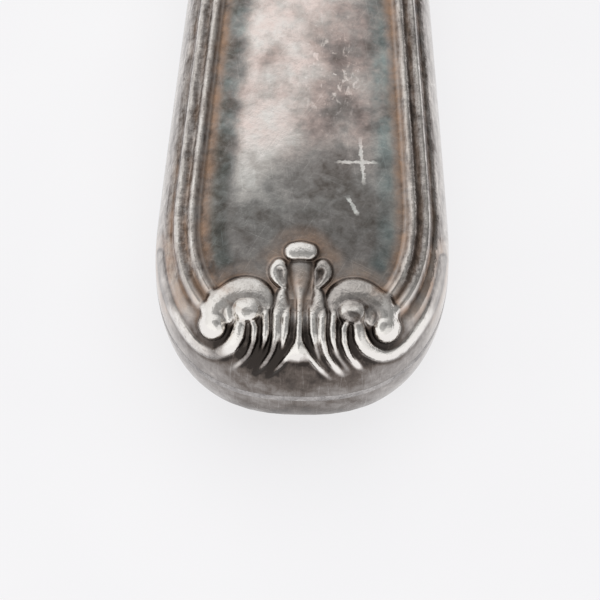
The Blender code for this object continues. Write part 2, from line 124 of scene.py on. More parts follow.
# Ornament. Stops of a roll are (across, rise, half width, height)
ORNAMENT_TILT = radians(55)
TOWARDS = np.array((-cos(ORNAMENT_TILT), 0.0, sin(ORNAMENT_TILT)))
HOOD = (
    (2.45, 6.95, 0.5, 0.3), (2.75, 7.5, 0.97, 0.56), (3.35, 7.85, 1.22, 0.72),
    (4.05, 7.95, 1.28, 0.78), (4.8, 7.82, 1.2, 0.74), (5.5, 7.5, 1.08, 0.68),
    (6.05, 7.02, 1.02, 0.64), (6.34, 6.46, 1, 0.67), (6.42, 5.9, 0.98, 0.72),
)
BEAD = ((6.4, 5.44, 1.08, 1.08), (6.42, 5.5, 1.08, 1.08))
WEB = ((5.2, 7, 0.8, 0.56), (5.15, 6.5, 0.64, 0.5), (5.15, 6, 0.42, 0.36))
BULB = ((3.74, 6.78, 1.02, 1.18), (3.98, 6.76, 1.02, 1.18))
CRADLE = (
    (4.28, 5.8, 0.46, 0.4), (4.4, 5.28, 0.54, 0.48), (4.58, 4.62, 0.6, 0.52),
    (5.15, 3.9, 0.57, 0.5), (6.15, 3.43, 0.49, 0.42), (7.05, 3.58, 0.44, 0.36),
    (7.95, 4.2, 0.43, 0.32), (8.8, 5.25, 0.43, 0.28), (9.62, 6.55, 0.43, 0.22),
    (10.18, 7.9, 0.43, 0.15), (10.55, 9.2, 0.42, 0.08), (10.8, 10.6, 0.4, 0.02),
)
LEAF = (
    (1.15, 8.4, 0.28, 0.16), (1.34, 7.95, 0.44, 0.26), (1.38, 7.35, 0.6, 0.32),
    (1.36, 6.8, 0.68, 0.34),
)
PETAL = (
    (1.62, 9.95, 0.62, 0.36), (1.68, 9.5, 0.76, 0.42), (1.52, 8.95, 0.56, 0.36),
    (1.18, 8.4, 0.3, 0.22),
)
PETAL_DISH = ((1.5, 9.55, 0.4, 0.26), (1.42, 9.1, 0.32, 0.22), (1.25, 8.7, 0.2, 0.12))
TOP_LOBE = ((-0.62, 11.02, 0.7, 0.46), (0, 11.1, 0.74, 0.5), (0.62, 11.02, 0.7, 0.46))
STEM = (
    (0, 9.8, 0.95, 0.1), (0, 8.8, 0.72, 0.14), (0, 7.7, 0.44, 0.2),
    (0, 6.6, 0.34, 0.26), (0, 5.6, 0.32, 0.28), (0, 4.7, 0.36, 0.3),
    (0, 4.1, 0.52, 0.3),
)

# Rolls on each side of the middle, and the power of their round tops: a lower one is fuller
ROLLS = ((HOOD, 0.9), (BULB, 0.6), (CRADLE, 0.7), (BEAD, 0.6), (WEB, 0.8), (STEM, 1.2), (LEAF, 0.8))
PETAL_POWER = 0.6
DISH_POWER = 1.0
LOBE_POWER = 0.55

# Fan of ridges below the scrolls: half widths at a ridge's bar and foot, heights there, and its
# places (across, rise) from its foot up
FAN_RIDGES = (
    (0.15, 0.19, 0.24, 0.38, (2.3, 1.65), (2, 1.98), (1.36, 2.63), (0.72, 3.46), (0.17, 4.48), (0, 6.5)),
    (0.33, 0.16, 0.4, 0.08, (2.4, 2), (2.05, 2.4), (1.5, 3.2), (1.2, 4.2), (1.02, 5.2), (0.9, 7.5)),
    (0.36, 0.24, 0.44, 0.42, (3.3, 1.9), (3.02, 2.16), (2.47, 2.81), (1.96, 3.64), (1.66, 4.85), (1.7, 7.5)),
    (0.33, 0.16, 0.42, 0.14, (3.7, 2.3), (3.3, 2.8), (2.8, 3.5), (2.48, 4.5), (2.42, 5.4), (2.6, 7.5)),
    (0.3, 0.23, 0.38, 0.42, (5, 2.2), (4.5, 2.5), (3.66, 3.46), (3.3, 4.4), (3.25, 5.5), (4, 7)),
)
FAN_LIMIT = ((7.60, 2.50), (6.12, 3.37), (5.27, 3.73), (4.58, 4.39), (4.19, 5.26), (3.95, 5.97), (4.4, 7.0))
RIDGE_POWER = 0.7
FAN_BARS = (3.2, 5.3)
FAN_START = (7.5, 6.3)
FAN_FOOT = (0.75, 0.24)
FAN_FADE = 1.9
FAN_GAP = -0.1
TONGUE_SLOPE = (4.75, 3.90)
TONGUE_FOOT = (2.70, 3.70)
TONGUE_LEVEL = FAN_RIDGES[0][2]
TONGUE_HEIGHT = 0.32
TONGUE_EDGE = 0.1

# Ground round the ornament, relief left at its foot on the shell that the knife lies on, and how relief
# is softened, covers the threads and fades in above the seam
GROUND_SINK = 0.03
GROUND_EDGE = (1.2, 0.4)
BACK_FOOT_RELIEF = 0.05
FOOT_WEAR = (3.4, 5.6)
RELIEF_SOFTENING = 2
THREAD_COVER = (0.40, 0.02)
SEAM_FADE = (0.2, 2.4)
FAR = 99.0

# Ferrule and bolster, as in the solids. A moulding depth of 1 is the bottom of the ferrule's waist,
# which runs between two shares of its length
FERRULE_WAIST = 1.2
FERRULE_POWER = 2.6
WAIST = (0.20, 0.78)
WAIST_STEP = 0.32
WAIST_POWER = 0.8
BACK_BEAD_ROUND = 0.25
FRONT_BEAD_ROUND = 0.30
FRONT_BEAD_DEPTH = 0.25
SPIGOT_POWER = 2.0
BOLSTER_LIP = 0.6
BOLSTER_SQUARING = 1.4
BOLSTER_EASE = 0.25
BOLSTER_END_SHARE = 0.03
FIT_GAP = 0.3

# Slot for the tang: half width, half thickness and the power of its oval
SLOT = (4.3, 1.2, 8.0)

# Blade and tang, as in the solids
BLADE_THICKNESS = (blade_high.z - blade_low.z) / MM
ROOT_WIDTH = 12.4
EDGE_THICKNESS = 0.4
SPINE_RISE = 11.0
EDGE_DROP = 16.5
HEEL_LENGTH = 26.0
TIP_LENGTH = 60.0
TIP_HEIGHT = 3.0
TIP_BLUNT = 1.2
TIP_ROUND = 1.0
GRIND_WIDTH = 12.0
TOOTH_PITCH = 4.0
TOOTH_DEPTH = 0.6
TOOTH_FACET = 1.5
TANG_WIDTH = 8.0
TANG_END_WIDTH = 5.0
SHOULDER = 0.3
SPINE_SWEEP = 2.6
EDGE_SWEEP = 2.2
TOOTH_POWER = 1.3

# Blade: finer shape of its spine, flats, bevel and tooth facets
SPINE_ROUND = 0.35
FULL_ROUND_WIDTH = 4.0
FLAT_STOPS = (0.35, 0.7, 0.97)
GRIND_SHARE = 0.6
GROUND_EASE = 0.125
BEVEL_POWER = 1.1
FACET_LEAST = 0.2
FACET_SHARE = 0.6
FACET_BEND = 0.45
CUTTING_HALF = 0.05
TIP_CLOSE = 0.96

# Mesh fineness
ROW_STEP = 0.09
SIDE_ROWS = 70
SIDE_CROWDING = 1.6
RIM_COLUMNS = 84
RIM_CROWDING = 3
PANEL_COLUMNS = 66
INNER_STOPS = (0.0, 0.03, 0.12, 0.3, 0.6, 1.0)
INNER_COLUMNS = 6
OUTLINE_SAMPLES = 6000
RIM_SAMPLES = 2000
NEAR_ROWS = (260, 140)
PATH_STEPS = 14
FILLET_POINTS = 13
OVAL_POINTS = 128
COLLAR_RINGS = 64
COLLAR_BLUR = 4
COLLAR_RELIEF = 0.08
BLADE_STEP = 0.25
SPINE_POINTS = 5
BEVEL_POINTS = 7
TIP_SECTIONS = 9
MERGE_DISTANCE = 1e-7

# Angles in degrees from which an edge shows as sharp
SHELL_SHARP = 70.0
COLLAR_SHARP = 40.0
BLADE_SHARP = 30.0


def ease(low, high, value):
    """Smooth step from 0 at low to 1 at high."""
    share = np.clip((value - low) / (high - low), 0, 1)
    return share * share * (3 - 2 * share)


def bell(middle, width, value):
    """1 at a middle, fading over a width to each side of it."""
    return np.exp(-(((value - middle) / width) ** 2))


# Handle surface


def taper_share(along):
    """Share of the way from the round of the butt to the mouth."""
    return np.clip((along - BUTT_DEPTH) / (HANDLE_LENGTH - BUTT_DEPTH), 0, 1)


def half_width(along):
    return (BUTT_WIDTH + (NECK_WIDTH - BUTT_WIDTH) * taper_share(along) ** TAPER_POWER) / 2


def half_thickness(along):
    return (BUTT_THICKNESS + (NECK_THICKNESS - BUTT_THICKNESS) * taper_share(along)) / 2


def path_length(first, second):
    """Length along a path of points, at each of them."""
    return np.append(0, np.cumsum(np.hypot(np.diff(first), np.diff(second))))


def outline_rows():
    """Outline points (along, across) from the middle of the butt to the mouth."""
    turn = np.linspace(0, pi / 2, OUTLINE_SAMPLES)
    along = BUTT_DEPTH * (1 - np.cos(turn).clip(0) ** (2 / BUTT_POWER))
    across = BUTT_WIDTH / 2 * np.sin(turn) ** (2 / BUTT_POWER)
    length = path_length(along, across)
    stops = np.linspace(0, length[-1], round(length[-1] / ROW_STEP) + 1)
    end = np.column_stack([np.interp(stops, length, along), np.interp(stops, length, across)])
    side = np.linspace(0, 1, SIDE_ROWS + 1)[1:] ** SIDE_CROWDING
    side = BUTT_DEPTH + (HANDLE_LENGTH - BUTT_DEPTH) * side
    return np.vstack([end, np.column_stack([side, half_width(side)])])


def inward_normals(outline):
    """Directions square to the outline, pointing into the handle."""
    step = np.gradient(outline, axis=0)
    step[0] = (0, 1)
    step[-1] = (1, 0)
    normal = np.column_stack([step[:, 1], -step[:, 0]])
    return normal / np.linalg.norm(normal, axis=1)[:, None]


def rim_rise(inset):
    """Share of the rim's rounding climbed at an inset from the outline."""
    share = np.clip(inset / RIM_ROUND, 0, 1)
    return (1 - (1 - share) ** RIM_POWER) ** (1 / RIM_POWER)


def rim_columns():
    """Insets from the outline to the panel, evenly spaced over the rim's curve."""
    inset = PANEL_EDGE * np.linspace(0, 1, RIM_SAMPLES) ** RIM_CROWDING
    height = (BUTT_THICKNESS / 2 - CROWN) * rim_rise(inset)
    length = path_length(inset, height)
    return np.interp(np.linspace(0, length[-1], RIM_COLUMNS), length, inset)


def inset_of(spots, outline):
    """Distance of plan points from the handle's outline."""
    found = np.empty(spots.shape[:2])
    for row, line in enumerate(spots):
        near = outline[max(0, row - NEAR_ROWS[0]) : row + NEAR_ROWS[1]]
        gaps = line[:, None, :] * (1, 0) + np.abs(line[:, None, :]) * (0, 1) - near[None, :, :]
        found[row] = np.linalg.norm(gaps, axis=2).min(axis=1)
    return found


def plan_grid(insets, panel_columns, wall):
    """Plan points (row, column) over half a handle, folded shut at the butt, and their insets."""
    outline = outline_rows()
    normal = inward_normals(outline)
    edge = outline[:, None, :] + normal[:, None, :] * (insets + wall)[None, :, None]
    edge[0, :, 1] = 0
    shares = np.linspace(1, -1, panel_columns + 1)[None, 1:-1]
    across = edge[:, -1, 1][:, None] * shares
    along = edge[:, -1, 0][:, None].repeat(panel_columns - 1, axis=1)
    panel = np.stack([along, across], axis=2)
    plan = np.concatenate([edge, panel, edge[:, ::-1] * (1, -1)], axis=1)
    rim = np.broadcast_to(insets + wall, edge.shape[:2])
    inset = np.concatenate([rim, inset_of(panel, outline), rim[:, ::-1]], axis=1)
    return plan, inset


def crown_rise(along, across):
    """Share of the face's slight swell, from 0 at the outline to 1 on the middle line."""
    end = np.clip((BUTT_DEPTH - along) / BUTT_DEPTH, 0, 1)
    side = np.clip(np.abs(across) / half_width(along), 0, 1)
    reach = (end**BUTT_POWER + side**BUTT_POWER) ** (1 / BUTT_POWER)
    return 1 - np.clip(reach, 0, 1) ** 2


def base_points(plan, inset):
    """The plain upper shell over the plan."""
    along, across = plan[..., 0], plan[..., 1]
    rim = (half_thickness(along) - CROWN - SEAM_HALF) * rim_rise(inset)
    return np.dstack([plan, SEAM_HALF + rim + CROWN * crown_rise(along, across)])


def grid_normals(points):
    """Outward normals of a grid whose first row is folded shut."""
    normal = np.cross(np.gradient(points, axis=1), np.gradient(points, axis=0))
    normal[normal[..., 2] < 0] *= -1
    size = np.linalg.norm(normal, axis=2)
    lost = size < 1e-12
    normal[lost] = (0, 0, 1)
    size[lost] = 1
    normal /= size[..., None]
    normal[0, :, 1] = 0
    return normal


# Relief


def groove_share(inset):
    """Share of a groove's depth: 1 at its bottom, 0 on a crest and off the threads."""
    place = (inset - RIM_BAND) / THREAD_WIDTH
    between = np.cos(pi * place) ** 2
    entry = ease(RIM_BAND - RIM_EASE, RIM_BAND, inset)
    return np.where(inset < RIM_BAND, entry, np.where(inset < THREAD_STOP, between, 0))


def thread_relief(inset, rise):
    """Rise of the threads, the grooves beside them and the recess round the panel."""
    keeps = [ease(end - THREAD_FADE[0], end + THREAD_FADE[1], rise) for end in THREAD_ENDS]
    down = groove_share(inset)
    number = np.clip((inset - RIM_BAND) // THREAD_WIDTH, 0, len(keeps) - 1).astype(int)
    keep = np.choose(number, keeps)
    crest = np.where(inset < RIM_BAND, 0, THREAD_HEIGHT)
    threads = (crest - (crest + GROOVE_DEPTH) * down) * keep
    fall = (RECESS_DEPTH - GROOVE_DEPTH) * ease(*RECESS_FALL, inset - THREAD_STOP)
    climb = (RECESS_DEPTH - PANEL_SINK) * ease(*RECESS_CLIMB, inset - THREAD_STOP)
    recess = (-GROOVE_DEPTH - fall + climb) * keeps[-1]
    return np.where(inset >= THREAD_STOP, recess, threads)


def smooth_path(stops):
    """Points of a Catmull-Rom curve through the stops."""
    stops = np.array(stops)
    ends = np.vstack([2 * stops[0] - stops[1], stops, 2 * stops[-1] - stops[-2]])
    path = []
    for a, b, c, d in zip(ends, ends[1:], ends[2:], ends[3:]):
        for u in np.arange(PATH_STEPS) / PATH_STEPS:
            bend = (2 * a - 5 * b + 4 * c - d) * u**2 + (3 * b - a - 3 * c + d) * u**3
            path.append(b + ((c - a) * u + bend) / 2)
    return np.array(path + [stops[-1]])


def roll(stops, power, across, rise):
    """Height of a rounded roll through its stops, and the gap to its edge."""
    height = np.zeros_like(across)
    gap = np.full_like(across, FAR)
    for middle, level, half, top in smooth_path(stops):
        reach = np.hypot(across - middle, rise - level)
        height = np.maximum(height, top * np.clip(1 - (reach / half) ** 2, 0, 1) ** power)
        gap = np.minimum(gap, reach - half)
    return height, gap


def line_through(places, rise):
    """Place across of a line of the fan at each rise, and its slope."""
    across, level = np.array(places).T
    return np.interp(rise, level, across), np.interp(rise, level, np.gradient(across, level))


def fan(side, rise):
    """Ridges that spread down between the scrolls, bars above and thin below, and a tongue."""
    bars = ease(*FAN_BARS, rise)
    height = np.zeros_like(side)
    for bar_half, foot_half, bar_top, foot_top, *places in FAN_RIDGES:
        line, slope = line_through(places, rise)
        off = np.abs(side - line) / np.sqrt(1 + slope**2)
        half = foot_half + (bar_half - foot_half) * bars
        top = foot_top + (bar_top - foot_top) * bars
        height = np.maximum(height, top * np.clip(1 - (off / half) ** 2, 0, 1) ** RIDGE_POWER)
    edge = line_through(FAN_RIDGES[0][4:], rise)[0] + TONGUE_EDGE
    peak = TONGUE_HEIGHT * ease(*TONGUE_SLOPE, rise) * (1 - side / edge)
    tongue = (TONGUE_LEVEL + peak) * ease(*TONGUE_FOOT, rise)
    height = np.where(side < edge, np.maximum(tongue, height), height)
    above_foot = rise - FAN_FOOT[0] - FAN_FOOT[1] * side
    height = height * ease(*FAN_START, rise) * ease(0, FAN_FADE, above_foot)
    limit = line_through(FAN_LIMIT, rise)[0]
    inside = (side < limit) & (rise < FAN_START[0]) & (above_foot > 0)
    return height, np.where(inside, FAN_GAP, FAR)


def ornament_relief(across, rise):
    """Height of the scroll ornament, the level of its ground and the gap to its edge."""
    side = np.abs(across)
    petal, petal_gap = roll(PETAL, PETAL_POWER, side, rise)
    dish = roll(PETAL_DISH, DISH_POWER, side, rise)[0]
    raised = [roll(stops, power, side, rise) for stops, power in ROLLS]
    raised += [(petal - dish, petal_gap), roll(TOP_LOBE, LOBE_POWER, across, rise), fan(side, rise)]
    height = np.max([part for part, gap in raised], axis=0)
    gap = np.min([gap for part, gap in raised], axis=0)
    return height, -GROUND_SINK * ease(*GROUND_EDGE, gap), gap


def blur(field, rounds):
    """A field smoothed over the grid."""
    for _ in range(rounds):
        wide = np.pad(field, 1, mode="edge")
        field = (wide[:-2, 1:-1] + wide[2:, 1:-1] + wide[1:-1, :-2] + wide[1:-1, 2:]) / 4
    return field


# Tarnish, with painted light and shade in places. A layer is a product of gains and masks, which go from 0 to
# 1 over the places on a shell.
# A mask (place, start, full) eases from 0 where the place is at start to 1 where it is at full


def near(place, middle, width):
    """Mask that is 1 at a middle and fades over a width to each side."""
    return lambda at: bell(middle, width, at[place])


def spot(across, rise, half_across, half_rise, rim):
    """Mask of an oval spot, which eases in over a rim given in shares of its half sizes."""
    return lambda at: ease(
        *rim, np.hypot((at["across"] - across) / half_across, (at["rise"] - rise) / half_rise)
    )


def between(low, high, *masks):
    """Mask that goes from one value to another as its own masks fill."""
    return lambda at: low + (high - low) * product(masks, at)


def product(layer, at):
    total = 1
    for factor in layer:
        if isinstance(factor, tuple):
            place, start, full = factor
            total = total * ease(start, full, at[place])
        else:
            total = total * (factor(at) if callable(factor) else factor)
    return total


def strongest(layers, at):
    return np.max([product(layer, at) for layer in layers.values()], axis=0)


def rubbed(at):
    """Bright streak down the panel, as bright to the left of its middle line as on it."""
    stops, middles, widths, gains = np.array(RUBBED).T
    middle, width, gain = (np.interp(at["along"], stops, values) for values in (middles, widths, gains))
    return gain * np.where(at["across"] > middle, 1, bell(middle, width, at["across"]))


# Rubbed streak along the panel: along, across, width, gain
RUBBED = (
    (12.5, 5, 1, 0),
    (15.7, 4.6, 1.3, 0.3),
    (19.4, 3.2, 1.9, 0.34),
    (23, 2.1, 2.6, 0.44),
    (30, 1.5, 2.3, 0.4),
    (60, 0.5, 3, 0.3),
)

PANEL = ("past_panel", 0, 1.2)
RIM_SIDES = ("rise", 6, 12)
LEFT = ("across", -2, 2)
RAISED = ("height", 0.05, 0.25)
TEAL_EDGE = ("past_panel", -0.1, 0.5)
OFF_ORNAMENT = ("gap", 0.6, 1.4)
LINED = (
    ("rise", 8, 9.5),
    ("past_threads", 0, -0.3),
    between(0.25, 1, ("inset", 0.3, 1)),
)

# Lightness of the tarnish and wear, with painted light and shade where marked: what each layer adds to the
# silver's level
TONE = {
    "rubbed streak": (rubbed, PANEL, ("past_panel", 1.4, 2.8)),
    "panel": (-0.07, PANEL),
    "belt above the ornament": (-0.14, PANEL, near("rise", 13.5, 3.6)),
    "right half of the panel": (-0.05, PANEL, ("across", 0, -6)),
    "thick patch in the streak": (-0.22, PANEL, near("along", 28.3, 1.6), near("across", 2.7, 1.3)),
    "thick patch above the lobe": (-0.12, PANEL, near("along", 16.5, 3), near("across", -0.5, 3)),
    "thin patch on the right": (0.1, PANEL, near("along", 27.5, 4), near("across", -4.2, 1.6)),
    "thin patch by the scratches": (0.14, PANEL, near("along", 22, 1.6), near("across", -3.4, 1.3)),
    # Tarnish at the panel's border, plus painted shade on the left threads' inner flanks
    "panel border": (
        between(-0.04, -0.24, LEFT), ("past_threads", 0, 0.6), ("past_panel", 2.2, 0.6),
        ("rise", 8, 9.5),
    ),
    "threads": (-0.2, ("past_rim", -0.2, 0), ("past_threads", 0, -0.2), ("rise", 7, 9)),
    "edge by the seam": (0.04, ("inset", 0.9, 0.3), RIM_SIDES),
    "outer groove": (-0.14, near("past_rim", -0.3, 0.5), RIM_SIDES),
    "end below the fan": (-0.28, ("rise", 6.5, 2.5), ("aside", 7.5, 3.5), ("height", 0.15, 0)),
    "corners of the end": (-0.12, ("aside", 4, 7), ("rise", 6, 3.5)),
    "ground": (0.14, ("gap", 0, 0.2), ("gap", 1.1, 0.6), ("rise", 5, 7)),
    # Worn relief is lighter, and lighter still on the left: painted light from the left
    "relief": (between(0.05, 0.25, LEFT), ("height", 0.02, 0.25)),
    "lower relief": (0.24, RAISED, ("rise", 7.2, 6)),
    # Painted highlight on the tongue's left face, which faces the light
    "left face of the tongue": (
        0.2, ("across", 0.1, 0.3), ("across", 1.3, 0.9), near("rise", 3.7, 0.55), ("height", 0.1, 0.3),
    ),
    # Painted shade on the fan's left feet, with a slight lightening on the rest of its feet
    "feet of the fan": (
        between(0.12, -0.98, ("lean", 0.9, 1.6)), ("rise", 5.2, 4), ("height", 0, 0.1),
        ("aside", 4.8, 4),
    ),
    # Darker feet of the rolls: tarnish plus painted shade where they meet the ground
    "skirt of the rolls": (-0.2, ("gap", -0.5, -0.08), ("gap", 0.05, -0.05), ("rise", 6, 7.2)),
    # Painted shade on the left cradle and its end, which are lit less than the right
    "left cradle": (-0.9, near("across", 6.2, 1), ("run", 4.6, 4), RAISED),
    "left end of the cradle": (-0.35, ("across", 6.8, 7.8), ("run", 4.6, 4), RAISED),
    # Painted highlight on the scrolls' necks, stronger on the right
    "necks of the scrolls": (
        between(0.25, 0.6, ("across", 2, -2)), near("aside", 6.6, 0.7), near("rise", 6.6, 0.7),
    ),
    # Painted dark reflection on the right bulb
    "right bulb": (-0.08, spot(-3.95, 6.8, 1, 0.75, (1.35, 0.95))),
    "top lobe": (0.26, ("rise", 10, 10.8), RAISED),
    # Painted shade on the right petal
    "right petal": (-0.16, near("across", -1.6, 0.6), ("rise", 8, 9), RAISED),
    "stem": (0.16, near("across", 0, 0.8), ("rise", 5.2, 6.4), ("rise", 10.4, 9.6)),
}

# Other values on the shells, of whose layers the strongest counts: black tarnish mixed with painted shade and
# dark reflections, brown and teal tarnish, pits and knocks, blotches, flecks, pink film, worn threads and the
# plain side wall
STRONGEST = {
    "soot_and_painted_shade": {
        # Black in the fan's flutes: tarnish in the hollows plus painted dark reflection
        "flutes of the fan": (
            ("rise", 6.7, 5.2), ("rise", -0.1, 1.5), ("flare", 7.2, 4.8), between(0.6, 1, ("rise", 2.2, 3.4)),
            ("crest_share", 1, 0.25),
        ),
        # Painted dark reflection on the right bulb: its dark eye
        "right eye": (2.3, spot(-3.75, 6.32, 0.78, 0.42, (1.2, 0.8))),
        # Painted shade on the tongue's right face, turned away from the light
        "right face of the tongue": (
            1.3, ("across", 0, -0.12), ("slant", -1.2, -0.9), ("rise", 4.7, 4.2), ("rise", 2.4, 2.8),
        ),
        # Painted shadow under the left bulb
        "under the left bulb": (0.8, near("across", 3.8, 0.8), near("rise", 5.9, 0.22)),
        # Dark cups in the petals' dished hollows: tarnish plus painted shade, darker on the right
        "left cup": (0.8, near("across", 1.7, 0.35), near("rise", 9.5, 0.42)),
        "right cup": (1.1, near("across", -1.5, 0.35), near("rise", 9.5, 0.42)),
    },
    "brown": {
        "recess round the panel": (near("past_threads", 0.25, 0.55), ("rise", 7, 8.5)),
        "grooves": (
            lambda at: groove_share(at["inset"]),
            between(0.25, 0.65, ("across", -2, 4), ("rise", 22, 12)), ("rise", 6, 8),
        ),
        "ground": (0.7, ("gap", -0.05, 0.1), ("gap", 1.5, 0.4), ("rise", 5, 7)),
        "spot on the right scroll": (near("across", -5.55, 0.35), near("rise", 6.5, 0.25)),
        "stem": (0.8, near("across", 0, 0.7), ("rise", 6, 7), ("rise", 10.2, 9.4)),
    },
    "teal": {
        "edge of the panel": (TEAL_EDGE, ("past_panel", 2.2, 1), OFF_ORNAMENT),
        "belt above the ornament": (0.35, TEAL_EDGE, near("rise", 14, 4), OFF_ORNAMENT),
    },
    "pitted": {"threads": (0.8, *LINED), "relief": (RAISED,)},
    "mottle": {"panel": (between(0.35, 1, ("past_panel", 0, 0.6), ("along", 13, 22)),)},
    "fleck": {"panel": (near("along", 27, 5), near("across", -2.2, 2.2))},
    "pink": {"panel": (("past_panel", 0, 1), ("along", 16, 22))},
    "lined": {"threads": LINED},
    "wall": {"below the threads": (("past_rim", 0, -0.3), ("height", 0.2, 0))},
}

# How far the tarnish in the hollows darkens. On the threads it is weaker towards the left, which is painted
# light from the left
HOLLOWS = (
    between(1, 0, *LINED, between(0.4, 0.95, ("across", -3, 3))),
    between(1, 0.5, ("past_threads", 0, PANEL_EDGE - THREAD_STOP), ("rise", 6.5, 7.5)),
    between(1, 0.5, ("rise", 7.4, 6.4), ("aside", 5.6, 4.6)),
)

# Blurs that part fine and broad relief, the depths and heights that count as full, and the share of
# each of the two in a hollow and on a crest
FINE_BLUR = 14
BROAD_BLUR = 120
FINE_RELIEF = 0.07
BROAD_DEPTH = 0.16
BROAD_HEIGHT = 0.2
CAVITY_SHARE = 0.6
CREST_SHARE = 0.5


def shell_places(along, across, inset, rise, gap, height):
    """Places on a shell by name, with those that follow a border or a slope of the ornament."""
    aside = np.abs(across)
    return dict(
        along=along, across=across, aside=aside, inset=inset, rise=rise, gap=gap, height=height,
        past_rim=inset - RIM_BAND,
        past_threads=inset - THREAD_STOP,
        past_panel=inset - PANEL_EDGE,
        lean=across + 0.5 * ease(3.5, 2.8, rise),
        run=rise - 4 * ease(7, 9, across),
        flare=aside + 0.3 * (4 - rise),
        slant=across + 0.62 * (rise - 3.2),
        crest_share=height / (0.32 - 0.17 * ease(3.7, 4.4, aside)),
    )


def shell_fields(at, relief):
    """Values on a shell's points that its material reads."""
    fine = relief - blur(relief, FINE_BLUR)
    broad = relief - blur(relief, BROAD_BLUR)
    sunk = np.clip(-fine / FINE_RELIEF, 0, 1) + np.clip(-broad / BROAD_DEPTH, 0, 1)
    proud = np.clip(fine / FINE_RELIEF, 0, 1) + np.clip(broad / BROAD_HEIGHT, 0, 1)
    fields = {name: strongest(layers, at) for name, layers in STRONGEST.items()}
    fields["tone"] = sum(product(layer, at) for layer in TONE.values())
    fields["cavity"] = CAVITY_SHARE * sunk * product(HOLLOWS, at)
    fields["crest"] = CREST_SHARE * proud
    return fields


# Meshes


def add_object(name, data):
    obj = bpy.data.objects.new(name, data)
    bpy.context.scene.collection.objects.link(obj)
    return obj


def mesh_from(name, points, faces, sharp, fields=()):
    """A smooth mesh in metres from points in millimetres, with named values on its points."""
    mesh = bpy.data.meshes.new(name)
    mesh.from_pydata(np.asarray(points) * MM, [], faces)
    for label, values in dict(fields).items():
        layer = mesh.attributes.new(label, "FLOAT", "POINT")
        layer.data.foreach_set("value", np.asarray(values, dtype=np.float32))
    bm = bmesh.new()
    bm.from_mesh(mesh)
    bmesh.ops.remove_doubles(bm, verts=bm.verts, dist=MERGE_DISTANCE)
    bmesh.ops.recalc_face_normals(bm, faces=bm.faces)
    bm.to_mesh(mesh)
    bm.free()
    mesh.shade_smooth()
    mesh.set_sharp_from_angle(angle=radians(sharp))
    return mesh


def ring_faces(rings, caps=()):
    """Faces through rings of point numbers, closed by caps, or into a loop where there are none."""
    above = np.roll(rings, -1, axis=0)
    quads = np.stack([rings, np.roll(rings, -1, axis=1), np.roll(above, -1, axis=1), above], axis=2)
    if caps:
        quads = quads[:-1]
    return quads.reshape(-1, 4).tolist() + [rings[cap].tolist() for cap in caps]


def numbered(rings, points, first=0):
    """Numbers of the points in rings, in order from the first."""
    return first + np.arange(rings * points).reshape(rings, points)


def shell_inside():
    """Points of a shell's plain inside."""
    plan, inset = plan_grid(RIM_ROUND * np.array(INNER_STOPS), INNER_COLUMNS, SHELL_WALL)
    inner = base_points(plan, np.clip(inset - SHELL_WALL, 0, None))
    share = (inner[..., 2] - SEAM_HALF) / (half_thickness(inner[..., 0]) - SEAM_HALF)
    inner[..., 2] -= SHELL_WALL * np.clip(share, 0, 1)
    return inner


def handle_shell(name, foot_relief):
    """One half shell with its threads and ornament, folded shut at the butt and open at the mouth.

    The share of relief left at the ornament's foot is lower on the shell that the knife lies on.
    """
    plan, inset = plan_grid(rim_columns(), 2 * PANEL_COLUMNS, 0)
    base = base_points(plan, inset)
    along, across, up = (base[..., axis] for axis in range(3))
    rise = along * sin(ORNAMENT_TILT) + up * cos(ORNAMENT_TILT)
    threads = thread_relief(inset, rise)
    ornament, ground, gap = ornament_relief(across, rise)
    kept = ease(*FOOT_WEAR, rise) * ease(RIM_BAND, THREAD_STOP, inset)
    ornament = ornament * (foot_relief + (1 - foot_relief) * kept)
    threads = threads * ease(*THREAD_COVER, ornament)
    height = blur(ornament, RELIEF_SOFTENING)
    ornament = height + ground * ease(THREAD_STOP, PANEL_EDGE, inset)
    seam_fade = ease(*SEAM_FADE, up - SEAM_HALF)
    outer = base + grid_normals(base) * (threads * seam_fade)[..., None]
    outer = outer + TOWARDS * (ornament * seam_fade)[..., None]
    inner = shell_inside()
    for skin in (outer, inner):
        skin[:, [0, -1], 2] = SEAM_HALF
        skin[-1, :, 0] = HANDLE_LENGTH
    points = np.vstack([outer.reshape(-1, 3), inner.reshape(-1, 3)])
    inside = numbered(*inner.shape[:2], first=inset.size)
    faces = ring_faces(np.hstack([numbered(*inset.shape), inside[:, ::-1]]), caps=(-1,))
    places = shell_places(along, across, inset, rise, gap, height)
    fields = shell_fields(places, threads + ornament)
    fields = {label: np.append(values, np.zeros(inside.size)) for label, values in fields.items()}
    return mesh_from(name, points, faces, SHELL_SHARP, fields)


def oval(along, half_y, half_z, power):
    """Ring of points on a rounded oval across the handle's axis."""
    turn = 2 * pi * np.arange(OVAL_POINTS) / OVAL_POINTS
    across = half_y * np.sign(np.cos(turn)) * np.abs(np.cos(turn)) ** (2 / power)
    up = half_z * np.sign(np.sin(turn)) * np.abs(np.sin(turn)) ** (2 / power)
    return np.column_stack([np.full_like(turn, along), across, up])


def collar(name, outside, bore, fields=()):
    """A ring-shaped body with ovals (along, half width, half thickness, power) round a bore."""
    ends = (outside[-1][0], outside[0][0])
    rings = [oval(*spec) for spec in outside] + [oval(along, *bore) for along in ends]
    faces = ring_faces(numbered(len(rings), OVAL_POINTS))
    return mesh_from(name, np.vstack(rings), faces, COLLAR_SHARP, fields)


def seam_proud():
    """How far the seam's solder stands out past the butt."""
    return (shell_low.x - seam_low.x) / MM


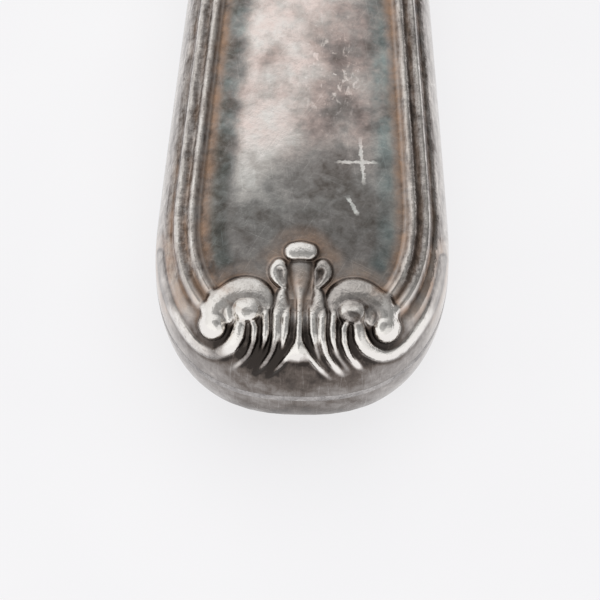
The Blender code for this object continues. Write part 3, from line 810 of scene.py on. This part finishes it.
def seam_bead():
    """The line of solder between the two shells, standing a little proud of them."""
    outline = outline_rows()
    normal = inward_normals(outline)
    path = np.vstack([outline[::-1], outline[1:] * (1, -1)])
    inward = np.vstack([normal[::-1], normal[1:] * (1, -1)])
    place = np.linspace(-1, 1, FILLET_POINTS)
    swell = SEAM_SKIN + (SEAM_SWELL * seam_proud() - SEAM_SKIN) * np.cos(pi / 2 * place) ** 2
    section = np.column_stack([-swell, SEAM_SPREAD * place])
    lower = [(SHELL_WALL, -SEAM_HALF), (0, -SEAM_HALF)]
    upper = [(0, SEAM_HALF), (SHELL_WALL, SEAM_HALF)]
    section = np.vstack([lower, section, upper])
    plan = path[:, None, :] + inward[:, None, :] * section[None, :, :1]
    up = np.broadcast_to(section[:, 1], plan.shape[:2])
    points = np.dstack([plan, up]).reshape(-1, 3)
    faces = ring_faces(numbered(len(path), len(section)), caps=(0, -1))
    return mesh_from("seam_bead", points, faces, SHELL_SHARP)


def spigot_sizes():
    """Half sizes of the spigot that enters the shells' mouth."""
    inset = SHELL_WALL + FIT_GAP
    return NECK_WIDTH / 2 - inset, NECK_THICKNESS / 2 - CROWN - inset


def solder_ring():
    """The fillet of solder between the shells' mouth and the ferrule."""
    share = np.linspace(0, 1, FILLET_POINTS)
    swell = seam_proud() * np.sin(pi * share)
    start = HANDLE_LENGTH + SOLDER_GAP
    along = start + (FERRULE_START - SOLDER_GAP - start) * share
    outside = [(x, NECK_WIDTH / 2 + s, NECK_THICKNESS / 2 + s, FERRULE_POWER) for x, s in zip(along, swell)]
    bore = [size + FIT_GAP / 2 for size in spigot_sizes()]
    return collar("solder_ring", outside, (*bore, SPIGOT_POWER))


def bead_fall(start, end, share):
    """How far a half-round bead has fallen from its top, in shares of its radius."""
    place = 2 * (share - start) / (end - start) - 1
    return 1 - sqrt(max(0, 1 - place**2))


def ferrule_depth(share):
    """Depth of the ferrule's moulding along it: a bead, a waist and a smaller bead."""
    if share < WAIST[0]:
        return BACK_BEAD_ROUND * bead_fall(0, WAIST[0], share)
    if share < WAIST[1]:
        place = (share - WAIST[0]) / (WAIST[1] - WAIST[0])
        return WAIST_STEP + (1 - WAIST_STEP) * sin(pi * place) ** WAIST_POWER
    return FRONT_BEAD_DEPTH + FRONT_BEAD_ROUND * bead_fall(WAIST[1], 1, share)


def moulded_ferrule():
    """The handle's cap: a spigot, a moulded collar and a slot for the tang."""
    half_y, half_z = half_sizes(ferrule_low, ferrule_high)
    outside = [(along, *spigot_sizes(), SPIGOT_POWER) for along in (SPIGOT_END, FERRULE_START)]
    depths = [0, 0]
    for share in np.linspace(0, 1, COLLAR_RINGS):
        depth = FERRULE_WAIST * ferrule_depth(share)
        along = FERRULE_START + (FERRULE_END - FERRULE_START) * share
        outside.append((along, half_y - depth, half_z - depth, FERRULE_POWER))
        depths.append(depth)
    depths = np.append(depths, (0, 0))
    taps = 2 * COLLAR_BLUR + 1
    average = np.convolve(np.pad(depths, COLLAR_BLUR, mode="edge"), np.full(taps, 1 / taps), mode="valid")
    sunk = ((depths - average) / COLLAR_RELIEF).repeat(OVAL_POINTS)
    fields = {"cavity": np.clip(sunk, 0, 1), "crest": np.clip(-sunk, 0, 1)}
    return collar("moulded_ferrule", outside, SLOT, fields)


def bolster_collar():
    """The steel collar that leads from the ferrule's oval down to the thin blade."""
    back_y, back_z = half_sizes(bolster_low, bolster_high)
    front_y = ROOT_WIDTH / 2 + BOLSTER_LIP
    front_z = BLADE_THICKNESS / 2 + BOLSTER_LIP
    outside = []
    for share in np.linspace(0, 1, COLLAR_RINGS):
        along = BOLSTER_START + (BOLSTER_END - BOLSTER_START) * share
        half_y = back_y + (front_y - back_y) * share
        half_z = back_z + (front_z - back_z) * ease(0, 1, share)
        ends = ease(BOLSTER_END_SHARE, 0, share) + ease(1 - BOLSTER_END_SHARE, 1, share)
        eased = BOLSTER_EASE * ends
        outside.append((along, half_y - eased, half_z - eased, FERRULE_POWER + BOLSTER_SQUARING * share))
    return collar("bolster_collar", outside, SLOT)


def blade_lines(along):
    """Spine, edge, serration and heel share of the blade at a place along the knife."""
    root = ROOT_WIDTH / 2
    heel = ease(BLADE_START, BLADE_START + HEEL_LENGTH, along)
    sweep = max(0, (along - (BLADE_END - TIP_LENGTH)) / TIP_LENGTH)
    spine = root + (SPINE_RISE - root) * heel - (SPINE_RISE - TIP_HEIGHT) * sweep**SPINE_SWEEP
    drop = (EDGE_DROP + TIP_HEIGHT) * (1 - sqrt(max(0, 1 - sweep**EDGE_SWEEP)))
    edge = min(drop - root - (EDGE_DROP - root) * heel, spine - TIP_BLUNT)
    wave = abs(sin(pi * (along - BLADE_START) / TOOTH_PITCH)) ** TOOTH_POWER
    wave = wave * heel * ease(TIP_BLUNT, GRIND_WIDTH, spine - edge)
    return spine, edge, wave, heel


def blade_side(spine, edge, wave, heel):
    """Points (across, up, ground share) down one side of the blade, from spine to edge."""
    half = BLADE_THICKNESS / 2
    width = spine - edge
    turn = np.linspace(0, pi / 2, SPINE_POINTS)
    back = SPINE_ROUND * min(1, width / FULL_ROUND_WIDTH)
    side = [(spine - back * (1 - cos(angle)), half - back * (1 - sin(angle)), 0) for angle in turn]
    grind = edge + min(GRIND_WIDTH, width * GRIND_SHARE)
    side += [(spine + (grind - spine) * share, half, 0) for share in FLAT_STOPS]
    bevel_half = (EDGE_THICKNESS + (BLADE_THICKNESS - EDGE_THICKNESS) * (1 - heel)) / 2
    foot = edge + TOOTH_DEPTH * wave
    facet = min(foot + FACET_LEAST + TOOTH_FACET * wave, foot + (grind - foot) * FACET_SHARE)
    for share in np.linspace(0, 1, BEVEL_POINTS):
        across = grind + (facet - grind) * share
        fall = (grind - across) / (grind - edge)
        up = half + (bevel_half - half) * fall**BEVEL_POWER
        side.append((across, up, min(1, share / GROUND_EASE)))
    tip_half = CUTTING_HALF + (half - CUTTING_HALF) * (1 - heel)
    side.append((foot + (facet - foot) * FACET_BEND, (side[-1][1] + tip_half) / 2, 1))
    side.append((foot, tip_half, 1))
    return np.array(side)


def blade_section(along, spine, edge, wave, heel):
    side = blade_side(spine, edge, wave, heel)
    both = np.vstack([side, side[::-1] * (1, -1, 1)])
    return np.column_stack([np.full(len(both), along), both])


def serrated_blade():
    """The blade from the end of its tang to the tip, ground and toothed along its edge."""
    tang_ends = ((TANG_START, TANG_END_WIDTH), (SPIGOT_END, TANG_WIDTH), (BLADE_START, TANG_WIDTH))
    sections = [blade_section(along, width / 2, -width / 2, 0, 0) for along, width in tang_ends]
    start = BLADE_START + SHOULDER
    stop = BLADE_END - TIP_ROUND
    for along in np.linspace(start, stop, round((stop - start) / BLADE_STEP) + 1):
        sections.append(blade_section(along, *blade_lines(along)))
    for share in np.sin(np.linspace(0, 1, TIP_SECTIONS)[1:] * pi / 2 * TIP_CLOSE):
        along = stop + TIP_ROUND * share
        section = blade_section(along, *blade_lines(along))
        middle = section[:, 1:3].mean(axis=0)
        section[:, 1:3] = middle + (section[:, 1:3] - middle) * sqrt(1 - share**2)
        sections.append(section)
    points = np.vstack(sections)
    faces = ring_faces(numbered(len(sections), len(sections[0])), caps=(0, -1))
    return mesh_from("serrated_blade", points[:, :3], faces, BLADE_SHARP, {"ground": points[:, 3]})


# Materials


class Nodes:
    """Short calls for building one node tree."""

    def __init__(self, tree):
        self.tree = tree

    def add(self, kind, inputs=(), **settings):
        node = self.tree.nodes.new(kind)
        for key, value in settings.items():
            setattr(node, key, value)
        for key, value in dict(inputs).items():
            self.feed(node.inputs[key], value)
        return node

    def feed(self, socket, value):
        if isinstance(value, bpy.types.NodeSocket):
            self.tree.links.new(value, socket)
        else:
            socket.default_value = value

    def math(self, operation, first, second=0, third=0):
        values = {0: first, 1: second, 2: third}
        return self.add("ShaderNodeMath", values, operation=operation).outputs[0]

    def plus(self, level, *parts):
        """A level with (factor, gain) products added to it."""
        for factor, gain in parts:
            level = self.math("MULTIPLY_ADD", factor, gain, level)
        return level

    def largest(self, values):
        result = values[0]
        for value in values[1:]:
            result = self.math("MAXIMUM", result, value)
        return result

    def mix(self, factor, first, second, kind="MIX"):
        node = self.add("ShaderNodeMix", data_type="RGBA", blend_type=kind)
        for socket, value in zip((0, 6, 7), (factor, first, second)):
            self.feed(node.inputs[socket], value)
        return node.outputs[2]

    def value(self, name):
        return self.add("ShaderNodeAttribute", attribute_name=name).outputs["Fac"]

    def place(self, scale=(1, 1, 1), turn=0, move=(0, 0, 0)):
        """Object coordinates in millimetres, scaled, turned about the up axis and moved."""
        sizes = [value * MM for value in scale]
        shift = [value * MM for value in move]
        inputs = {"Vector": self.add("ShaderNodeTexCoord").outputs["Object"], "Location": shift}
        inputs.update({"Rotation": (0, 0, turn), "Scale": sizes})
        return self.add("ShaderNodeMapping", inputs, vector_type="TEXTURE").outputs[0]

    def noise(self, place, scale, detail=3, rough=0.55, twist=0):
        """Cloudy noise from 0 to 1, by its scale, detail, roughness and twist."""
        values = {"Vector": place, "Scale": scale, "Detail": detail, "Roughness": rough, "Distortion": twist}
        return self.add("ShaderNodeTexNoise", values).outputs["Fac"]

    def span(self, value, low, high, to_low=0, to_high=1):
        values = {"Value": value, "From Min": low, "From Max": high, "To Min": to_low, "To Max": to_high}
        return self.add("ShaderNodeMapRange", values).outputs[0]

    def ramp(self, value, stops):
        node = self.add("ShaderNodeValToRGB", {"Fac": value})
        band = node.color_ramp.elements
        while len(band) < len(stops):
            band.new(0.5)
        for element, (place, colour) in zip(band, stops):
            element.position = place
            element.color = (*colour, 1)
        return node.outputs[0]

    def finish(self, shade, rough, height, strength, depth, metallic=1):
        """Feed a material's shader, with a bump whose depth is in millimetres."""
        bump = self.add("ShaderNodeBump", {"Height": height, "Strength": strength, "Distance": depth * MM})
        sockets = self.tree.nodes["Principled BSDF"].inputs
        self.feed(sockets["Base Color"], shade)
        self.feed(sockets["Roughness"], rough)
        self.feed(sockets["Normal"], bump.outputs[0])
        sockets["Metallic"].default_value = metallic


def new_material(name):
    """A new material and its nodes."""
    material = bpy.data.materials.new(name)
    material.use_nodes = True
    return material, Nodes(material.node_tree)


# Silver: shades by level, from black tarnish and painted shade to bright metal and painted highlight, and the
# tints of its films
SILVER_SHADES = (
    (0.00, (0.045, 0.038, 0.034)),
    (0.22, (0.150, 0.125, 0.110)),
    (0.45, (0.340, 0.315, 0.300)),
    (0.70, (0.600, 0.560, 0.525)),
    (1.00, (0.920, 0.890, 0.850)),
)
PINK_TINT = (1.0, 0.88, 0.86, 1.0)
TEAL_TINT = (0.78, 0.97, 1.0, 1.0)
BROWN_TARNISH = (0.480, 0.300, 0.195, 1.0)
BROWN_SHARE = 0.75

# Silver: its plain level, and what wear adds to it
SILVER_LEVEL = 0.62
GRAIN = 0.12
CREST_GAIN = 0.35
CAVITY_GAIN = -0.38
SCUFF_GAIN = 0.09
SCRATCH_GAIN = 0.60

# Patchy wear, by the value that it follows: stretch, noise as scale, detail, roughness and twist, the
# noise from which and to which it grows, and what it adds to the level there
WEAR = {
    "mottle": ((1.0, 1.0, 1.0), (0.24, 10.0, 0.60, 0.2), (0.34, 0.66), (-0.22, 0.22)),
    "fleck": ((1.5, 0.8, 0.8), (1.5, 4.0, 0.65, 0.6), (0.57, 0.66), (0.0, 0.45)),
    "pitted": ((1.0, 1.0, 1.0), (2.4, 4.0, 0.75, 0.2), (0.50, 0.70), (0.0, -0.22)),
    "lined": ((2.2, 0.4, 0.4), (0.9, 5.0, 0.70, 0.0), (0.32, 0.68), (-0.26, 0.22)),
    # The soot row also breaks up painted shade and dark reflections, not only black tarnish
    "soot_and_painted_shade": ((1.0, 1.0, 1.0), (0.9, 4.0, 0.65, 0.0), (0.30, 0.62), (-0.40, -0.18)),
}

# Silver: roughness from black to bright, what grain adds to it, heights that go into its bump, and
# the bump's strength and depth, as with the other materials
SILVER_ROUGH = (0.34, 0.07)
GRAIN_ROUGH = 0.35
SCUFF_BUMP = -0.12
SCRATCH_BUMP = -1.2
DENT_BUMP = 2.2
KNOCK_BUMP = 4.5
SILVER_BUMP = (0.45, 0.05)

# Fine scuffs in three directions: angle to the handle, shift
SCUFFS = ((8, 0.0), (-28, 31.0), (63, 57.0))
SCUFF_SCALE = (5.0, 0.11, 5.0)

# Scratches on the panel: along, across, angle to the handle, length
SCRATCHES = (
    (18.1, -4.5, 4.0, 5.0),
    (17.9, -4.1, 92.0, 3.6),
    (13.7, -3.8, 25.0, 2.2),
)
SCRATCH_WIDTH = 0.20
SCRATCH_FULL = 0.3


def scratch(nodes, along, across, turn, length):
    """Mask of one straight, ragged scratch on the panel."""
    place = nodes.place(turn=radians(turn), move=(along, across, 0))
    parts = nodes.add("ShaderNodeSeparateXYZ", {0: place}).outputs
    ragged = nodes.noise(place, 3, 3, 0.6)
    ragged = nodes.span(ragged, 0.3, 0.7, -0.5 * SCRATCH_WIDTH, 0.5 * SCRATCH_WIDTH)
    off = nodes.math("ADD", nodes.math("ABSOLUTE", parts[1]), ragged)
    line = nodes.span(off, SCRATCH_WIDTH / 2, SCRATCH_WIDTH, 1, 0)
    ends = nodes.span(nodes.math("ABSOLUTE", parts[0]), length * SCRATCH_FULL, length / 2, 1, 0)
    return nodes.math("MULTIPLY", line, ends)


def scuff_lines(nodes, turn, shift):
    """Mask of fine lines in one direction."""
    place = nodes.place(SCUFF_SCALE, radians(turn), (shift, shift, 0))
    return nodes.span(nodes.noise(place, 1, 2, 0.5), 0.62, 0.74)


def silver_material():
    """Tarnished silver, whose wear, films and painted light and shade follow the values on the shells'
    points.
    """
    material, nodes = new_material("tarnished_silver")
    place = nodes.place()
    grain = nodes.noise(place, 1.1, 6, 0.62, 0.3)
    grain = nodes.span(grain, 0.30, 0.70, -GRAIN, GRAIN)
    scuff = nodes.largest([scuff_lines(nodes, *spec) for spec in SCUFFS])
    marks = nodes.largest([scratch(nodes, *spec) for spec in SCRATCHES])
    level = nodes.math("ADD", nodes.math("ADD", nodes.value("tone"), SILVER_LEVEL), grain)
    for name, (stretch, pattern, reach, gains) in WEAR.items():
        gain = nodes.span(nodes.noise(nodes.place(stretch), *pattern), *reach, *gains)
        level = nodes.plus(level, (nodes.value(name), gain))
    level = nodes.plus(level, (nodes.value("crest"), CREST_GAIN), (nodes.value("cavity"), CAVITY_GAIN))
    level = nodes.plus(level, (scuff, SCUFF_GAIN), (marks, SCRATCH_GAIN))

    patch = nodes.span(nodes.noise(place, 0.55, 4, 0.6), 0.32, 0.62)
    pink = nodes.math("MULTIPLY", nodes.value("pink"), patch)
    film = nodes.math("MULTIPLY", nodes.value("teal"), nodes.span(patch, 0, 1, 1, 0.5))
    brown = nodes.math("MULTIPLY", nodes.value("brown"), patch)
    shade = nodes.ramp(level, SILVER_SHADES)
    shade = nodes.mix(pink, shade, nodes.mix(1, shade, PINK_TINT, "MULTIPLY"))
    shade = nodes.mix(film, shade, nodes.mix(1, shade, TEAL_TINT, "MULTIPLY"))
    shade = nodes.mix(nodes.math("MULTIPLY", brown, BROWN_SHARE), shade, BROWN_TARNISH)

    rough = nodes.plus(nodes.span(level, 0, 1, *SILVER_ROUGH), (grain, GRAIN_ROUGH))
    dents = nodes.math("MULTIPLY", nodes.noise(place, 0.55, 2, 0.5), DENT_BUMP)
    knocks = nodes.math("MULTIPLY", nodes.noise(place, 1.2, 3, 0.6), KNOCK_BUMP)
    height = nodes.noise(place, 1.6, 6, 0.6)
    height = nodes.plus(height, (scuff, SCUFF_BUMP), (marks, SCRATCH_BUMP))
    height = nodes.plus(height, (nodes.value("wall"), dents), (nodes.value("pitted"), knocks))
    nodes.finish(shade, rough, height, *SILVER_BUMP)
    return material


# Steel: shades by level, and what each kind of mark adds to its level and to its roughness, which for
# smudges is a span
STEEL_SHADES = ((0.30, (0.46, 0.46, 0.46)), (0.70, (0.68, 0.69, 0.70)))
SMUDGE = (0.3, 0.06, 0.16)
BRUSHED = (0.7, 0.18)
BEVEL = (0.12, 0.10)
SPOTS = (-0.06, 0.08)
STEEL_BUMP = (0.15, 0.03)


def steel_material():
    """Satin steel: lines along the flats and across the ground bevel, a few water marks."""
    material, nodes = new_material("satin_steel")
    lengthwise = nodes.noise(nodes.place((9, 0.10, 0.10)), 1, 3, 0.6)
    crosswise = nodes.noise(nodes.place((0.09, 6, 6)), 1, 3, 0.6)
    ground = nodes.value("ground")
    brushed = nodes.mix(ground, lengthwise, crosswise)
    smudge = nodes.noise(nodes.place(), 0.12, 4, 0.6, 0.5)
    spots = nodes.span(nodes.noise(nodes.place(), 0.45, 2, 0.5), 0.66, 0.70)
    level = nodes.math("MULTIPLY", smudge, SMUDGE[0])
    rough = nodes.span(smudge, 0.3, 0.7, *SMUDGE[1:])
    for mask, (lighter, rougher) in ((brushed, BRUSHED), (ground, BEVEL), (spots, SPOTS)):
        level = nodes.plus(level, (mask, lighter))
        rough = nodes.plus(rough, (mask, rougher))
    nodes.finish(nodes.ramp(level, STEEL_SHADES), rough, brushed, *STEEL_BUMP)
    return material


# Dull materials: name, shades by level, clouds and grit as scale, detail, roughness and twist of their
# noise, share of grit, roughness by cloud, bump, metallic
SOLDER = (
    "silver_solder", ((0.40, (0.26, 0.245, 0.24)), (0.62, (0.56, 0.535, 0.52))),
    (0.8, 5, 0.65, 0.4), (5, 3, 0.6, 0), 0.3, (0.34, 0.5), (0.3, 0.04), 1,
)
RESIN = (
    "resin_cement", ((0.30, (0.06, 0.03, 0.02)), (0.70, (0.17, 0.10, 0.06))),
    (0.25, 5, 0.6, 0.8), (3, 2, 0.7, 0), 0.4, (0.6, 0.85), (0.4, 0.2), 0,
)


def dull_material(name, shades, clouds, grit, grit_share, rough, bump, metallic):
    """A dull material with broad clouds and fine grit."""
    material, nodes = new_material(name)
    clouds = nodes.noise(nodes.place(), *clouds)
    grit = nodes.noise(nodes.place(), *grit)
    level = nodes.plus(nodes.math("MULTIPLY", clouds, 1 - grit_share), (grit, grit_share))
    rough = nodes.span(clouds, 0.3, 0.7, *rough)
    nodes.finish(nodes.ramp(level, shades), rough, grit, *bump, metallic)
    return material


# Stage

TABLE_HALF = 4.0
TABLE_SHADES = ((0.3, (0.885, 0.88, 0.895)), (0.7, (0.915, 0.91, 0.92)))
TABLE_ROUGH = 0.8
TABLE_GLOSS = 0.1
TABLE_GLOW = 0.82


def table_material():
    """White table, shown almost at its own colour, with a faint shadow."""
    material, nodes = new_material("white_table")
    shade = nodes.ramp(nodes.noise(nodes.place(), 0.02), TABLE_SHADES)
    shader = nodes.tree.nodes["Principled BSDF"]
    nodes.feed(shader.inputs["Base Color"], shade)
    shader.inputs["Roughness"].default_value = TABLE_ROUGH
    shader.inputs["Specular IOR Level"].default_value = TABLE_GLOSS
    glow = nodes.add("ShaderNodeEmission", {"Color": shade, "Strength": 1})
    path = nodes.add("ShaderNodeLightPath").outputs
    seen = nodes.math("MAXIMUM", path["Is Camera Ray"], path["Is Glossy Ray"])
    share = nodes.math("MULTIPLY", seen, TABLE_GLOW)
    mixed = nodes.add("ShaderNodeMixShader", {0: share, 1: shader.outputs[0], 2: glow.outputs[0]})
    nodes.feed(nodes.tree.nodes["Material Output"].inputs["Surface"], mixed.outputs[0])
    return material


# Camera: where it looks, where that place is in the picture, and how it stands
AIM_ALONG = 14.5
AIM_PIXEL = (302.7, 239.4)
IMAGE_SIZE = 600
CAMERA_RISE = radians(55)
CAMERA_SWING = radians(1.22)
CAMERA_REACH = 130.0
CLIP_START = 0.005
LENS = 98.2
SENSOR = 36.0


def add_camera():
    """Look down at the butt from beyond its end."""
    data = bpy.data.cameras.new("camera")
    data.lens = LENS
    data.sensor_width = SENSOR
    data.clip_start = CLIP_START
    camera = add_object("camera", data)
    aim = BUTT + Vector((AIM_ALONG * MM, 0, 0))
    back = Vector((-cos(CAMERA_RISE), 0, sin(CAMERA_RISE)))
    back = Matrix.Rotation(CAMERA_SWING, 3, "Z") @ back
    focal = LENS / SENSOR * IMAGE_SIZE
    tilt = atan((IMAGE_SIZE / 2 - AIM_PIXEL[1]) / focal)
    swing = atan((AIM_PIXEL[0] - IMAGE_SIZE / 2) / focal)
    turn = (-back).to_track_quat("-Z", "Y").to_matrix().to_4x4()
    turn = turn @ Matrix.Rotation(-tilt, 4, "X") @ Matrix.Rotation(swing, 4, "Y")
    camera.matrix_world = Matrix.Translation(aim + back * CAMERA_REACH * MM) @ turn
    bpy.context.scene.camera = camera


# Room: brightness by height on the viewer's side and beyond the knife, where one gives way to the
# other, how much higher the bright wall reaches to the sides, and strength from right to left
ROOM_FRONT = ((0.0, 1.0), (0.42, 0.98), (0.56, 0.74), (0.70, 0.48), (1.0, 0.42))
ROOM_BACK = ((0.0, 0.80), (0.45, 0.90), (0.73, 0.90), (0.80, 0.62), (0.86, 0.42), (1.0, 0.34))
ROOM_TURN = (-0.25, 0.15)
ROOM_SIDE_REACH = -0.40
ROOM_FRONT_SIDES = (-0.8, 0.2, 0.75, 1.0)
ROOM_BACK_SIDES = ((-0.80, 0.32), (-0.45, 0.50), (-0.08, 0.90), (0.25, 1.0))


def grey_stops(stops):
    return [(place, (value,) * 3) for place, value in stops]


def add_world():
    """A pale room with a darker ceiling, lit more from the left of the picture."""
    world = bpy.data.worlds.new("room")
    bpy.context.scene.world = world
    world.use_nodes = True
    nodes = Nodes(world.node_tree)
    place = nodes.add("ShaderNodeTexCoord").outputs["Generated"]
    parts = nodes.add("ShaderNodeSeparateXYZ", {0: place}).outputs
    beyond = nodes.span(parts[0], *ROOM_TURN)
    level = nodes.plus(parts[2], (nodes.math("ABSOLUTE", parts[1]), ROOM_SIDE_REACH))
    front = nodes.ramp(level, grey_stops(ROOM_FRONT))
    back = nodes.ramp(parts[2], grey_stops(ROOM_BACK))
    across = nodes.span(parts[1], -1, 1)
    front_side = nodes.span(parts[1], *ROOM_FRONT_SIDES)
    back_side = nodes.ramp(across, grey_stops(((stop + 1) / 2, value) for stop, value in ROOM_BACK_SIDES))
    sky = nodes.tree.nodes["Background"].inputs
    nodes.feed(sky["Color"], nodes.mix(beyond, front, back))
    nodes.feed(sky["Strength"], nodes.mix(beyond, front_side, back_side))


LAMP_STRENGTH = 1.7
LAMP_SPREAD = radians(70)
LAMP_TILT = (radians(8), radians(12), 0.0)


def add_lamp():
    """Broad soft light from above, which leaves no glint on the metal."""
    data = bpy.data.lights.new("soft_light", "SUN")
    data.energy = LAMP_STRENGTH
    data.angle = LAMP_SPREAD
    lamp = add_object("soft_light", data)
    lamp.rotation_euler = LAMP_TILT
    lamp.visible_glossy = False


def add_table():
    mesh = bpy.data.meshes.new("table")
    bm = bmesh.new()
    bmesh.ops.create_grid(bm, x_segments=8, y_segments=8, size=TABLE_HALF)
    bm.to_mesh(mesh)
    bm.free()
    mesh.materials.append(table_material())
    table = add_object("table", mesh)


def build_knife():
    """Every piece that shows, in its CAD node's place, and the finish of the resin inside."""
    finishes = {"silver": silver_material(), "solder": dull_material(*SOLDER), "steel": steel_material()}
    pieces = {
        "handle_front_shell": ("silver", handle_shell("front_shell", 1)),
        "handle_back_shell": ("silver", handle_shell("back_shell", BACK_FOOT_RELIEF)),
        "seam_solder": ("solder", seam_bead()),
        "ferrule_solder": ("solder", solder_ring()),
        "ferrule": ("silver", moulded_ferrule()),
        "bolster": ("steel", bolster_collar()),
        "blade": ("steel", serrated_blade()),
    }
    for node, (slot, mesh) in pieces.items():
        mesh.materials.append(finishes[slot])
        obj = add_object(mesh.name, mesh)
        obj.location = BUTT
        if node == "handle_back_shell":
            obj.rotation_euler = (pi, 0, 0)
        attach(obj, "root")
        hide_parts(node)
    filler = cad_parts["pitch_filler"].data
    filler.materials.clear()
    filler.materials.append(dull_material(*RESIN))


build_knife()
add_table()
add_camera()
add_world()
add_lamp()
bpy.context.scene.view_settings.view_transform = "Standard"
